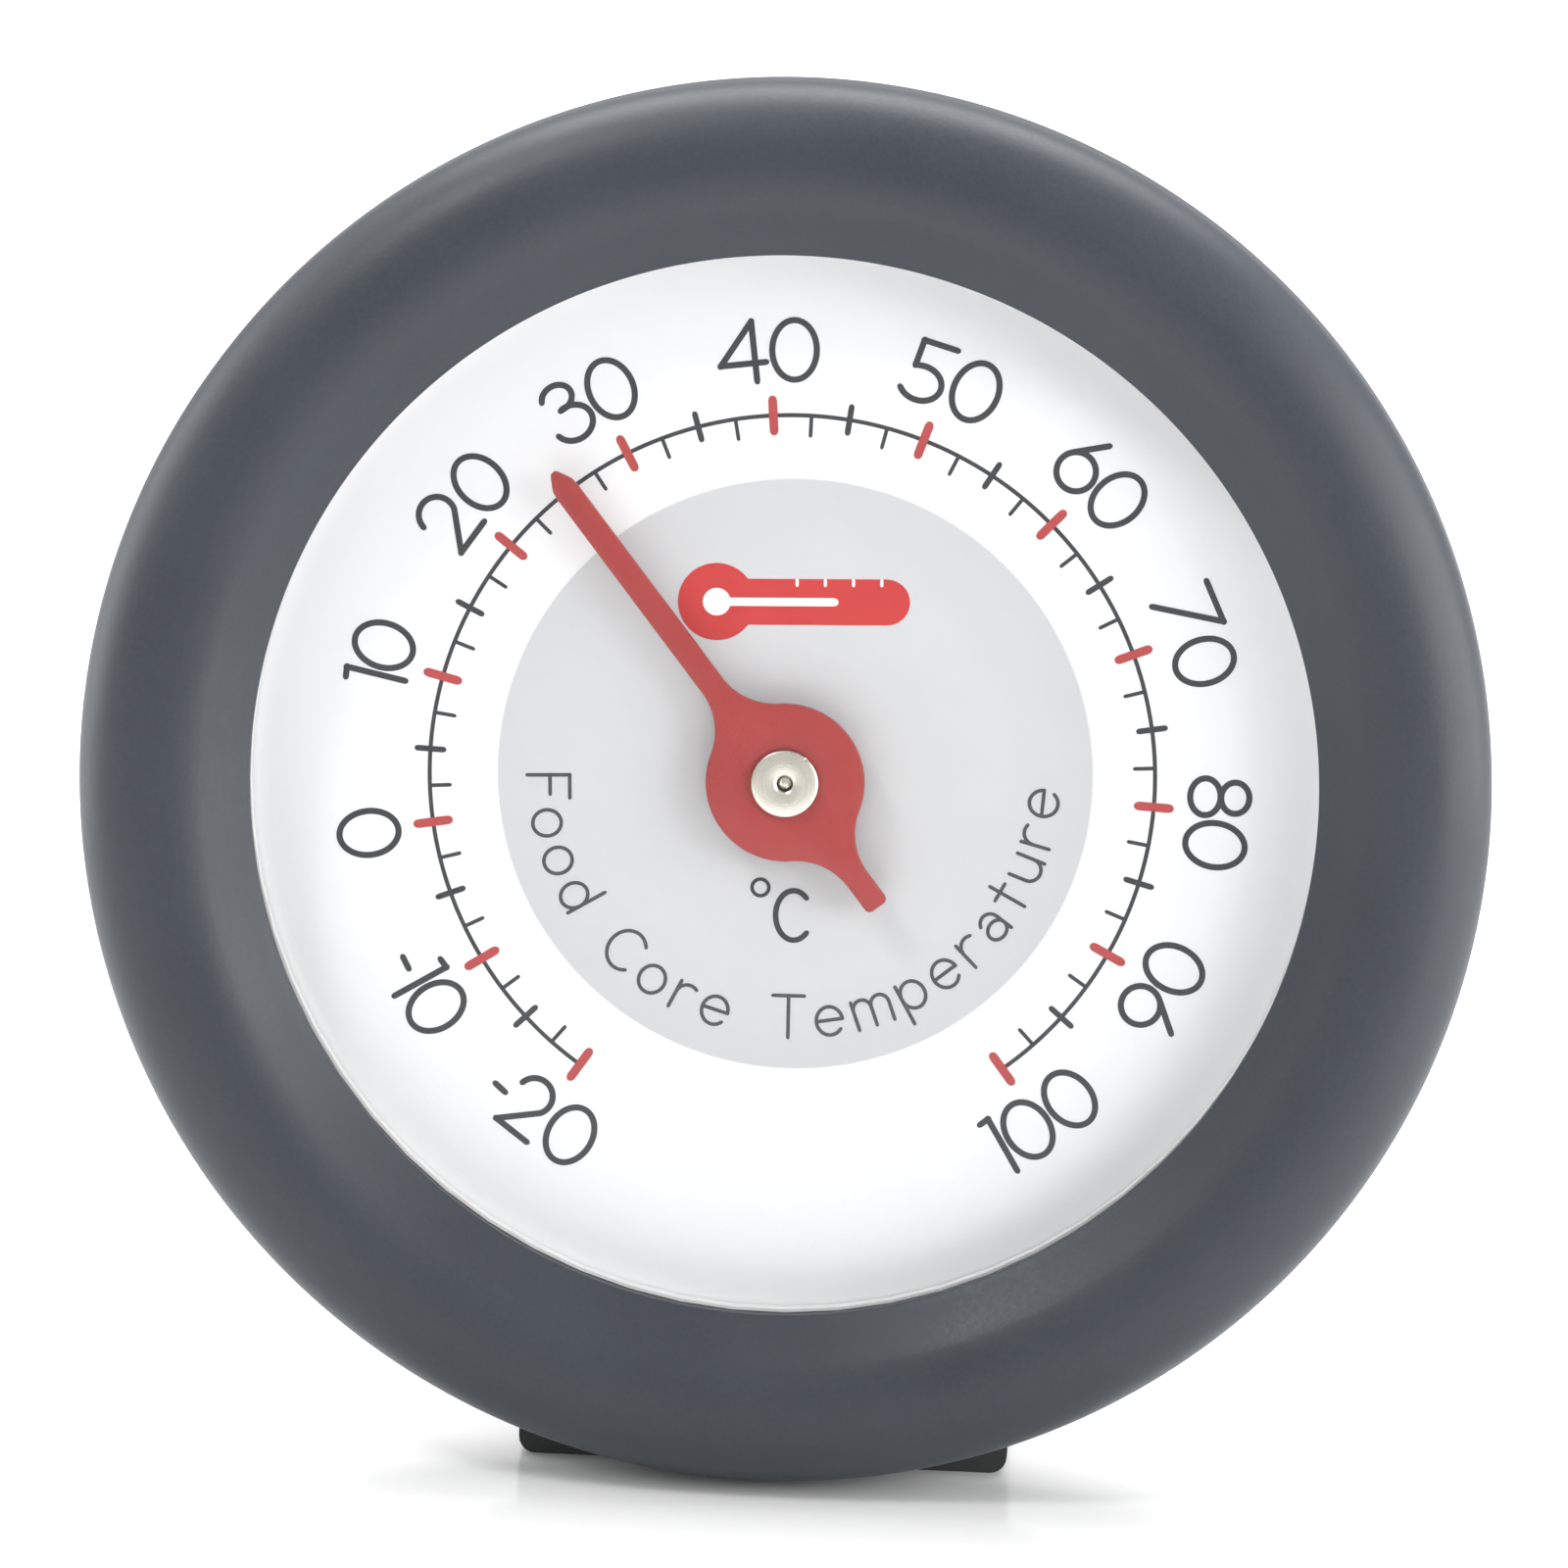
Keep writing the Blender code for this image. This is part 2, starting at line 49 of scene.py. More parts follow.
headJoint = next(joint for joint in frame["joints"] if joint["name"] == "head_turn")
axisPoint = Vector(headJoint["pos_m"])
axisWay = Vector(headJoint["axis"])
lean = math.atan2(axisWay.z, axisWay.y)


def placeOnAxis(turned):
    tipped = Matrix.Translation(axisPoint) @ Matrix.Rotation(lean, 4, "X")
    return tipped @ Matrix.Rotation(math.radians(turned), 4, "Y")


sheathPlace = placeOnAxis(turnedBy["sheath"])
headPlace = placeOnAxis(turnedBy["head"])
pointerPlace = placeOnAxis(turnedBy["pointer"])


# materials

def addNode(tree, kind, inputs=None, **settings):
    node = tree.nodes.new(kind)
    for key, value in settings.items():
        setattr(node, key, value)
    for key, value in (inputs or {}).items():
        node.inputs[key].default_value = value
    return node


def axisVector(tree, place):
    # object coordinates, turned into millimetres about the axis
    coordinates = addNode(tree, "ShaderNodeTexCoord")
    mapping = addNode(tree, "ShaderNodeMapping", vector_type="TEXTURE", inputs={
        "Location": place.to_translation(),
        "Rotation": place.to_euler("XYZ"),
        "Scale": (millimetre, millimetre, millimetre),
    })
    tree.links.new(coordinates.outputs["Object"], mapping.inputs["Vector"])
    return mapping.outputs["Vector"]


def mathNode(tree, operation, first, second=0.0, third=0.0):
    node = addNode(tree, "ShaderNodeMath", operation=operation)
    for socket, value in zip(node.inputs, (first, second, third)):
        if isinstance(value, (int, float)):
            socket.default_value = value
        else:
            tree.links.new(value, socket)
    return node.outputs["Value"]


def distanceFrom(tree, vector, centre):
    # distance from a line parallel to the axis, through centre = (x, z)
    parts = addNode(tree, "ShaderNodeSeparateXYZ")
    tree.links.new(vector, parts.inputs["Vector"])
    across = mathNode(tree, "SUBTRACT", parts.outputs["X"], centre[0])
    up = mathNode(tree, "SUBTRACT", parts.outputs["Z"], centre[1])
    flat = addNode(tree, "ShaderNodeCombineXYZ")
    tree.links.new(across, flat.inputs["X"])
    tree.links.new(up, flat.inputs["Z"])
    length = addNode(tree, "ShaderNodeVectorMath", operation="LENGTH")
    tree.links.new(flat.outputs["Vector"], length.inputs[0])
    return length.outputs["Value"], parts.outputs["Y"]


def stretched(tree, vector, scale):
    node = addNode(tree, "ShaderNodeVectorMath", operation="MULTIPLY")
    node.inputs[1].default_value = scale
    tree.links.new(vector, node.inputs[0])
    return node.outputs["Vector"]


def noise(tree, vector, scale, detail=2.0, roughness=0.5):
    node = addNode(tree, "ShaderNodeTexNoise", inputs={
        "Scale": scale, "Detail": detail, "Roughness": roughness})
    tree.links.new(vector, node.inputs["Vector"])
    return node.outputs["Fac"]


noiseRange = (0.3, 0.7)  # nearly all of a noise's values lie between these
fineDetail = 3.0  # octaves of the finer noises
mixFirst, mixSecond, mixResult = 6, 7, 2  # the Mix node's colour sockets


def spread(tree, value, target=(0.0, 1.0), source=noiseRange):
    node = addNode(tree, "ShaderNodeMapRange", inputs={
        "From Min": source[0], "From Max": source[1], "To Min": target[0], "To Max": target[1]})
    tree.links.new(value, node.inputs["Value"])
    return node.outputs["Result"]


def mixColours(tree, factor, first, second):
    node = addNode(tree, "ShaderNodeMix", data_type="RGBA")
    tree.links.new(factor, node.inputs["Factor"])
    for socket, value in ((node.inputs[mixFirst], first), (node.inputs[mixSecond], second)):
        if isinstance(value, tuple):
            socket.default_value = (*value, 1.0)
        else:
            tree.links.new(value, socket)
    return node.outputs[mixResult]


def startMaterial(name, look):
    material = bpy.data.materials.new(name)
    material.use_nodes = True
    tree = material.node_tree
    shader = tree.nodes["Principled BSDF"]
    shader.inputs["Metallic"].default_value = look.get("metallic", 0.0)
    shader.inputs["Specular IOR Level"].default_value = look.get("specular", 0.5)
    return material, tree, shader


def addBump(tree, shader, height, depth):
    bump = addNode(tree, "ShaderNodeBump", inputs={"Strength": 1.0, "Distance": depth * millimetre})
    tree.links.new(height, bump.inputs["Height"])
    tree.links.new(bump.outputs["Normal"], shader.inputs["Normal"])


# how much the fine grain and the slow drift each count, and the range that they span together
grainMix = {"fine": 0.55, "slow": 0.45, "range": (0.35, 0.65), "roughness": 0.6}


def grainyFinish(name, place, look):
    # moulded or painted stuff: fine grain, slow drift of shade and gloss
    material, tree, shader = startMaterial(name, look)
    vector = axisVector(tree, place)
    fine = noise(tree, vector, 1.0 / look["grain"], fineDetail, grainMix["roughness"])
    slow = noise(tree, vector, 1.0 / look["drift"])
    slowShare = mathNode(tree, "MULTIPLY", slow, grainMix["slow"])
    both = mathNode(tree, "MULTIPLY_ADD", fine, grainMix["fine"], slowShare)
    shade = spread(tree, both, source=grainMix["range"])
    colour = mixColours(tree, shade, look["darker"], look["lighter"])
    tree.links.new(colour, shader.inputs["Base Color"])
    gloss = spread(tree, both, look["roughness"], grainMix["range"])
    tree.links.new(gloss, shader.inputs["Roughness"])
    addBump(tree, shader, fine, look["depth"])
    return material


# stretch of the lines along a drawn tube, wander of the turned rings, and size of the clouding
metalMarks = {"drawn": (9.0, 0.12, 9.0), "wander": (0.15, 0.0, 0.15), "cloud": 0.35}


def turnedMetal(name, place, look):
    # metal with tool marks: rings about the axis on its faces, or lines along a drawn tube
    material, tree, shader = startMaterial(name, look)
    vector = axisVector(tree, place)
    if look["marks"] == "along":
        lines = noise(tree, stretched(tree, vector, metalMarks["drawn"]), 1.0, fineDetail)
    else:
        radius, along = distanceFrom(tree, vector, (0.0, 0.0))
        rings = addNode(tree, "ShaderNodeCombineXYZ")
        tree.links.new(mathNode(tree, "MULTIPLY", radius, look["pitch"]), rings.inputs["X"])
        tree.links.new(mathNode(tree, "MULTIPLY", along, look["pitch"]), rings.inputs["Y"])
        blend = addNode(tree, "ShaderNodeVectorMath", operation="ADD")
        tree.links.new(rings.outputs["Vector"], blend.inputs[0])
        tree.links.new(stretched(tree, vector, metalMarks["wander"]), blend.inputs[1])
        lines = noise(tree, blend.outputs["Vector"], 1.0)
    cloud = noise(tree, vector, metalMarks["cloud"], fineDetail)
    colour = mixColours(tree, spread(tree, cloud), look["darker"], look["lighter"])
    tree.links.new(colour, shader.inputs["Base Color"])
    tree.links.new(spread(tree, lines, look["roughness"]), shader.inputs["Roughness"])
    addBump(tree, shader, lines, look["depth"])
    return material


gripLook = {
    "darker": (0.027, 0.033, 0.041), "lighter": (0.034, 0.041, 0.050), "roughness": (0.40, 0.52),
    "grain": 0.16, "drift": 5.0, "depth": 0.006, "specular": 0.38,
}
sheathLook = {
    "darker": (0.026, 0.027, 0.028), "lighter": (0.034, 0.035, 0.036), "roughness": (0.44, 0.56),
    "grain": 0.22, "drift": 6.0, "depth": 0.006, "specular": 0.38,
}
redLook = {
    "darker": (0.305, 0.028, 0.025), "lighter": (0.345, 0.036, 0.033), "roughness": (0.30, 0.40),
    "grain": 0.30, "drift": 2.5, "depth": 0.002, "specular": 0.32,
}
inkLook = {"roughness": (0.45, 0.60), "grain": 0.12, "drift": 1.5, "depth": 0.0006}
colouredInkLook = {**inkLook, "grain": 0.14, "specular": 0.35}
darkInkLook = {
    **inkLook, "darker": (0.020, 0.022, 0.025), "lighter": (0.030, 0.032, 0.035), "specular": 0.35,
}
redInkLook = {**colouredInkLook, "darker": (0.380, 0.040, 0.040), "lighter": (0.430, 0.050, 0.050)}
signInkLook = {**colouredInkLook, "darker": (0.480, 0.024, 0.022), "lighter": (0.525, 0.030, 0.027)}
greyInkLook = {**inkLook, "darker": (0.034, 0.036, 0.039), "lighter": (0.046, 0.048, 0.052)}
whiteInkLook = {**inkLook, "darker": (0.76, 0.76, 0.76), "lighter": (0.82, 0.82, 0.82)}
rubberLook = {
    "darker": (0.022, 0.022, 0.022), "lighter": (0.032, 0.032, 0.033), "roughness": (0.65, 0.80),
    "grain": 0.20, "drift": 3.0, "depth": 0.006,
}
spacerLook = {
    "darker": (0.74, 0.74, 0.73), "lighter": (0.80, 0.80, 0.79), "roughness": (0.45, 0.58),
    "grain": 0.25, "drift": 5.0, "depth": 0.003,
}
nickelLook = {
    "darker": (0.60, 0.57, 0.50), "lighter": (0.70, 0.67, 0.60), "roughness": (0.22, 0.38),
    "marks": "rings", "pitch": 16.0, "depth": 0.0016, "metallic": 1.0,
}
steelLook = {"darker": (0.36, 0.36, 0.355), "lighter": (0.43, 0.43, 0.42), "metallic": 1.0}
caseLook = {**steelLook, "roughness": (0.22, 0.36), "marks": "rings", "pitch": 7.0, "depth": 0.0015}
stemLook = {**steelLook, "roughness": (0.18, 0.30), "marks": "along", "depth": 0.0010}
nutLook = {**steelLook, "roughness": (0.24, 0.36), "marks": "along", "depth": 0.0010}
springLook = {
    "darker": (0.30, 0.30, 0.31), "lighter": (0.37, 0.37, 0.38), "roughness": (0.28, 0.42),
    "marks": "rings", "pitch": 9.0, "depth": 0.0012, "metallic": 1.0,
}
brassLook = {
    "darker": (0.50, 0.35, 0.15), "lighter": (0.58, 0.42, 0.20), "roughness": (0.24, 0.38),
    "marks": "rings", "pitch": 9.0, "depth": 0.0012, "metallic": 1.0,
}

gripRubber = grainyFinish("gripRubber", headPlace, gripLook)
sheathPlastic = grainyFinish("sheathPlastic", sheathPlace, sheathLook)
pointerPaint = grainyFinish("pointerPaint", pointerPlace, redLook)
darkInk = grainyFinish("darkInk", headPlace, darkInkLook)
redInk = grainyFinish("redInk", headPlace, redInkLook)
greyInk = grainyFinish("greyInk", headPlace, greyInkLook)
signInk = grainyFinish("signInk", headPlace, signInkLook)
whiteInk = grainyFinish("whiteInk", headPlace, whiteInkLook)
sealRubber = grainyFinish("sealRubber", headPlace, rubberLook)
spacerPlastic = grainyFinish("spacerPlastic", headPlace, spacerLook)
bushNickel = turnedMetal("bushNickel", pointerPlace, nickelLook)
caseSteel = turnedMetal("caseSteel", headPlace, caseLook)
stemSteel = turnedMetal("stemSteel", sheathPlace, stemLook)
nutSteel = turnedMetal("nutSteel", sheathPlace, nutLook)
springSteel = turnedMetal("springSteel", sheathPlace, springLook)
turnedBrass = turnedMetal("turnedBrass", sheathPlace, brassLook)


# the dial's own paint: white, with a pale grey disc in the middle, darkened towards its rim by
# painted shade
dialPrint = {
    "white": (0.835, 0.838, 0.845), "disc": (0.590, 0.596, 0.604),
    "discCentre": (0.31, 0.15), "discRadius": 10.57, "edge": 0.035,
    "paintedRimShade": 0.95, "rimFrom": 0.7,
    "mottle": 0.8, "mottleDetail": 4.0, "mottleShade": 0.975, "mottleShare": 0.5,
    "grain": 5.0, "roughness": (0.42, 0.52), "depth": 0.0008, "specular": 0.4,
}


def dialFinish(name):
    look = dialPrint
    material, tree, shader = startMaterial(name, look)
    vector = axisVector(tree, headPlace)
    away, along = distanceFrom(tree, vector, look["discCentre"])
    radius, edge = look["discRadius"], look["edge"]
    # painted shade: the grey disc is darkened towards its rim, a soft dark edge
    discPaintedShadeRim = tuple(channel * look["paintedRimShade"] for channel in look["disc"])
    paintedShadeMask = spread(tree, away, source=(radius * look["rimFrom"], radius))
    disc = mixColours(tree, paintedShadeMask, look["disc"], discPaintedShadeRim)
    outside = spread(tree, away, source=(radius - edge, radius + edge))
    printed = mixColours(tree, outside, disc, look["white"])
    mottle = spread(tree, noise(tree, vector, look["mottle"], look["mottleDetail"]))
    shaded = tuple(channel * look["mottleShade"] for channel in look["white"])
    tint = mixColours(tree, mottle, shaded, look["white"])
    blend = addNode(tree, "ShaderNodeMix", data_type="RGBA", blend_type="MULTIPLY")
    blend.inputs["Factor"].default_value = look["mottleShare"]
    tree.links.new(printed, blend.inputs[mixFirst])
    tree.links.new(tint, blend.inputs[mixSecond])
    tree.links.new(blend.outputs[mixResult], shader.inputs["Base Color"])
    fine = noise(tree, vector, look["grain"], fineDetail)
    tree.links.new(spread(tree, fine, look["roughness"]), shader.inputs["Roughness"])
    addBump(tree, shader, fine, look["depth"])
    return material


# clear plastic: see-through when looked at squarely, a mirror at a glancing angle
lensLook = {
    "tint": (0.97, 0.98, 0.99, 1.0), "metallic": 1.0, "smudge": 0.45, "roughness": (0.03, 0.07),
    "glanceBlend": 0.5, "glancePower": 5.0, "glance": 0.6, "haze": 0.02,
}


def lensFinish(name):
    look = lensLook
    material, tree, shader = startMaterial(name, look)
    shader.inputs["Base Color"].default_value = look["tint"]
    vector = axisVector(tree, headPlace)
    smudge = noise(tree, vector, look["smudge"], fineDetail)
    tree.links.new(spread(tree, smudge, look["roughness"]), shader.inputs["Roughness"])
    weight = addNode(tree, "ShaderNodeLayerWeight", inputs={"Blend": look["glanceBlend"]})
    edgeOn = mathNode(tree, "POWER", weight.outputs["Facing"], look["glancePower"])
    alpha = mathNode(tree, "MULTIPLY_ADD", edgeOn, look["glance"], look["haze"])
    tree.links.new(alpha, shader.inputs["Alpha"])
    return material


dialPaint = dialFinish("dialPaint")
clearPlastic = lensFinish("clearPlastic")
print("materials made")


# modelling helpers

def startPiece(name, point):
    # a plane closed up to one corner, left in edit mode, to be drawn out point by point
    bpy.ops.object.select_all(action="DESELECT")
    bpy.ops.mesh.primitive_plane_add(size=1.0, location=(0, 0, 0))
    piece = bpy.context.object
    piece.name = name
    piece.data.name = name
    bpy.ops.object.mode_set(mode="EDIT")
    bpy.ops.mesh.select_all(action="SELECT")
    bpy.ops.mesh.merge(type="CENTER")
    bpy.ops.transform.translate(value=point)
    return piece


def drawChain(points):
    for here, there in zip(points, points[1:]):
        step = Vector(there) - Vector(here)
        bpy.ops.mesh.extrude_region_move(TRANSFORM_OT_translate={"value": step})


def tidyMesh(distance=0.0005):
    bpy.ops.mesh.select_all(action="SELECT")
    bpy.ops.mesh.remove_doubles(threshold=distance)
    bpy.ops.mesh.normals_make_consistent(inside=False)


def lathe(name, section, steps):
    # section: (radius, y) points, a loop or a chain with both ends on the axis
    points = [(radius, y, 0.0) for radius, y in section]
    if section[0][0] > 0:
        points.append(points[0])
    piece = startPiece(name, points[0])
    drawChain(points)
    bpy.ops.mesh.select_all(action="SELECT")
    bpy.ops.mesh.spin(steps=steps, angle=math.tau, center=(0, 0, 0), axis=(0, 1, 0))
    tidyMesh()
    bpy.ops.object.mode_set(mode="OBJECT")
    return piece


def drawSheet(name, points, thickness):
    # a flat outline, filled and then given its thickness
    piece = startPiece(name, points[0])
    drawChain(points)
    bpy.ops.mesh.select_all(action="SELECT")
    bpy.ops.mesh.edge_face_add()
    bpy.ops.mesh.extrude_region_move(TRANSFORM_OT_translate={"value": thickness})
    tidyMesh()
    bpy.ops.object.mode_set(mode="OBJECT")
    return piece


def applyModifier(piece, kind, **settings):
    bpy.ops.object.select_all(action="DESELECT")
    bpy.context.view_layer.objects.active = piece
    piece.select_set(True)
    modifier = piece.modifiers.new(kind.title(), kind)
    for key, value in settings.items():
        setattr(modifier, key, value)
    bpy.ops.object.modifier_apply(modifier=modifier.name)


def combine(piece, other, operation):
    applyModifier(piece, "BOOLEAN", operation=operation, object=other, solver="EXACT")
    bpy.data.objects.remove(other)


def roundEdges(piece, width, segments=3, angle=30):
    applyModifier(
        piece, "BEVEL", width=width, segments=segments, limit_method="ANGLE",
        angle_limit=math.radians(angle), harden_normals=False, use_clamp_overlap=True)


def arcPoints(centre, radii, start, end, steps=20):
    points = []
    for step in range(steps + 1):
        angle = math.radians(start + (end - start) * step / steps)
        across, up = radii[0] * math.cos(angle), radii[1] * math.sin(angle)
        points.append((centre[0] + across, centre[1] + up))
    return points


def polygonPoints(radius, sides):
    turns = [math.tau * side / sides for side in range(sides)]
    return [(radius * math.cos(turn), radius * math.sin(turn)) for turn in turns]


def finishPiece(piece, place, body, material, stands=(), smooth=32):
    bpy.ops.object.select_all(action="DESELECT")
    bpy.context.view_layer.objects.active = piece
    piece.select_set(True)
    piece.matrix_world = place @ Matrix.Scale(millimetre, 4)
    bpy.ops.object.transform_apply(location=True, rotation=True, scale=True)
    bpy.ops.object.shade_smooth_by_angle(angle=math.radians(smooth))
    piece.data.materials.clear()
    piece.data.materials.append(material)
    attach(piece, body)
    if stands:
        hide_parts(*stands)
    print("made", piece.name, len(piece.data.polygons), "faces")


# the grip ring: thin lip at the lens, sloping collar, crease, fat shoulder, coned back
gripRing = {
    "opening": 18.9, "lipFront": -0.66, "lipBack": -0.38, "lipRound": 0.10, "lipMiddle": -0.68,
    "lipTurn": (180, 238),
    "collar": [(19.28, -0.985), (19.66, -1.225), (19.98, -1.46), (20.25, -1.665)],
    "crease": -120.5, "crest": 22.1, "crestFront": -2.3, "bulge": 3.07, "outside": 25.0,
    "band": 1.45, "heel": 23.0, "heelDepth": 1.9, "cone": 21.1, "coneBack": 4.45,
    "backCorner": [(20.98, 4.55), (20.8, 4.6)], "back": 4.6, "bore": 20.36, "steps": 288,
}


def makeGripRing():
    size = gripRing
    opening, lip, crest, bulge = size["opening"], size["lipRound"], size["crest"], size["bulge"]
    section = [(opening, size["lipBack"]), (opening, size["lipFront"])]
    section += arcPoints((opening + lip, size["lipMiddle"]), (lip, lip), *size["lipTurn"], 4)[1:]
    section += size["collar"]
    bulgeMiddle = (crest, size["crestFront"] + bulge)
    section += arcPoints(bulgeMiddle, (bulge, bulge), size["crease"], -90, 12)
    shoulderRadii = (size["outside"] - crest, -size["crestFront"])
    section += arcPoints((crest, 0.0), shoulderRadii, -90, 0, 26)[1:]
    heelRadii = (size["outside"] - size["heel"], size["heelDepth"])
    section += arcPoints((size["heel"], size["band"]), heelRadii, 0, 90, 14)
    section += [(size["cone"], size["coneBack"]), *size["backCorner"]]
    section += [(size["bore"], size["back"]), (size["bore"], size["lipBack"])]
    piece = lathe("gripRing", section, size["steps"])
    finishPiece(piece, headPlace, "head", gripRubber, ["grip_ring"], smooth=50)


# the case behind the ring: a pressed cup, holed at the back for the ferrule
caseCup = {
    "outside": 20.3, "wall": 0.4, "front": -0.10, "rimRound": 0.06, "rimDepth": 0.1,
    "rimBack": 4.8, "bend": 0.8, "step": [(13.2, 4.8), (12.9, 4.85), (12.65, 5.04), (12.4, 5.1)],
    "innerStep": [(12.2, 4.7), (13.0, 4.4)], "back": 5.1, "hole": 2.6, "holeEdge": 0.08,
    "steps": 192,
}


def makeCaseCup():
    size = caseCup
    wall, front, outside, back = size["wall"], size["front"], size["outside"], size["back"]
    rimRound, hole, holeEdge = size["rimRound"], size["hole"], size["holeEdge"]
    bendMiddle = (outside - size["bend"], size["rimBack"] - size["bend"])
    section = [(outside - wall, front + size["rimDepth"]), (outside - wall + rimRound, front)]
    section += [(outside - rimRound, front), (outside, front + size["rimDepth"])]
    section += arcPoints(bendMiddle, (size["bend"],) * 2, 0, 90, 9)
    section += size["step"]
    section += [(hole + holeEdge, back), (hole, back - holeEdge), (hole, back - wall)]
    section += size["innerStep"]
    section += arcPoints(bendMiddle, (wall, wall), 90, 0, 4)
    piece = lathe("caseCup", section, size["steps"])
    finishPiece(piece, headPlace, "head", caseSteel, ["case_cup"], smooth=40)


# the clear cover, slightly domed, with a rim that the ring hides
lensCover = {
    "step": 18.78, "rim": 19.84, "front": -0.58, "rimFront": -0.08, "back": 0.40, "crown": 0.22,
    "pocket": 18.18, "pocketFront": 0.08, "domeSteps": 10, "steps": 192,
}


def makeLens():
    size = lensCover
    shares = [step / size["domeSteps"] for step in range(size["domeSteps"] + 1)]
    section = [(size["step"] * share, size["front"] - size["crown"] * (1 - share ** 2))
               for share in shares]
    section += [(size["step"], size["rimFront"]), (size["rim"], size["rimFront"])]
    section += [(size["rim"], size["back"]), (size["pocket"], size["back"])]
    section += [(size["pocket"] * share, size["pocketFront"] - size["crown"] * (1 - share ** 2))
                for share in reversed(shares)]
    piece = lathe("lensCover", section, size["steps"])
    finishPiece(piece, headPlace, "head", clearPlastic, ["lens"], smooth=30)


# the dial: a thin enamelled plate
dialPlate = {"hole": 1.2, "rim": 19.84, "front": 1.70, "back": 2.10, "edge": 0.05, "steps": 192}


def makeDial():
    size = dialPlate
    edge = size["edge"]
    section = [(size["hole"], size["front"] + edge), (size["hole"] + edge, size["front"])]
    section += [(size["rim"] - edge, size["front"]), (size["rim"], size["front"] + edge)]
    section += [(size["rim"], size["back"]), (size["hole"], size["back"])]
    piece = lathe("dialPlate", section, size["steps"])
    finishPiece(piece, headPlace, "head", dialPaint, ["dial_plate"])


# printing: each stroke is a round pen line, pressed nearly flat on the dial's face
ink = {
    "thickness": 0.02, "merge": 0.0002,
    # how far each ink stands in front of the dial
    "layers": {"dark": 0.006, "sign": 0.010, "red": 0.012, "pale": 0.016},
    "roundAt": (35, 62, 84),  # degrees at which a stroke's round end is cut into steps
}


def inkFront(layer):
    return dialPlate["front"] - ink["layers"][layer]


def penLine(points, width, closed=False):
    return {"points": points, "width": width, "closed": closed}


def strokeKnots(stroke):
    # the stroke's points and widths; an open stroke gets rounded ends
    points = [Vector((x, 0.0, z)) for x, z in stroke["points"]]
    widths = [stroke["width"]] * len(points)
    if not stroke["closed"]:
        start, end = points[0], points[-1]
        startWay, endWay = (start - points[1]).normalized(), (end - points[-2]).normalized()
        for angle in ink["roundAt"]:
            reach = stroke["width"] / 2 * math.sin(math.radians(angle))
            shrunk = stroke["width"] * math.cos(math.radians(angle))
            points = [start + startWay * reach, *points, end + endWay * reach]
            widths = [shrunk, *widths, shrunk]
    return points, widths


def printStrokes(name, strokes, material, layer="dark"):
    bpy.ops.object.select_all(action="DESELECT")
    bpy.ops.curve.primitive_nurbs_path_add(location=(0, 0, 0))
    drawing = bpy.context.object
    drawing.name = name
    curve = drawing.data
    curve.name = name
    curve.splines.clear()
    curve.dimensions = "3D"
    curve.use_fill_caps = True
    curve.bevel_resolution = 1
    curve.bevel_depth = 0.5  # so that a knot's radius is the stroke's width
    for stroke in strokes:
        points, widths = strokeKnots(stroke)
        spline = curve.splines.new("POLY")
        spline.points.add(len(points) - 1)
        for knot, point, width in zip(spline.points, points, widths):
            knot.co = (*point, 1.0)
            knot.radius = width
        spline.use_cyclic_u = stroke["closed"]
    bpy.ops.object.convert(target="MESH")
    piece = bpy.context.object
    squeeze = ink["thickness"] / max(stroke["width"] for stroke in strokes)
    pressed = Matrix.Diagonal((1, squeeze, 1, 1))
    piece.matrix_world = Matrix.Translation((0, inkFront(layer), 0)) @ pressed
    bpy.ops.object.transform_apply(location=True, rotation=True, scale=True)
    bpy.ops.object.mode_set(mode="EDIT")
    tidyMesh(ink["merge"])
    bpy.ops.object.mode_set(mode="OBJECT")
    finishPiece(piece, headPlace, "head", material, smooth=60)


dialScale = {
    "centre": (0.20, 0.10), "radius": 12.88, "line": 0.17, "lineSteps": 240,
    "lowest": -20, "highest": 100, "markEvery": 2.5,
    "middle": 40, "middleAngle": -2.93, "perDegree": 2.4045, "perSquare": 0.000872,
    "red": {"length": 1.42, "width": 0.36, "shift": 0.5},
    "five": {"length": 1.14, "width": 0.24, "shift": 0.5},
    "half": {"length": 0.86, "width": 0.155, "shift": 0.0},
    "numeralRadius": 15.2, "numeralGap": 0.07, "numeralStroke": 0.255, "topsOutward": (0, 80),
    # how far each number stands from its mark, in degrees round the dial
    "moved": {0: -0.4, 10: 0.7, 20: 0.8, 30: -1.2, 40: -0.25, 50: 0.7, 60: 0.6, 70: 0.6, 80: 1.4,
              90: 0.4, 100: -0.4},
}


def scaleAngle(temperature):
    # degrees clockwise from straight up
    size = dialScale
    away = temperature - size["middle"]
    return size["middleAngle"] + size["perDegree"] * away + size["perSquare"] * away * away


def onScale(angle, radius):
    turn = math.radians(angle)
    centre = dialScale["centre"]
    return (centre[0] + radius * math.sin(turn), centre[1] + radius * math.cos(turn))


def loopLine(centre, radii, steps=36):
    return arcPoints(centre, radii, 0, 360, steps)[:-1]


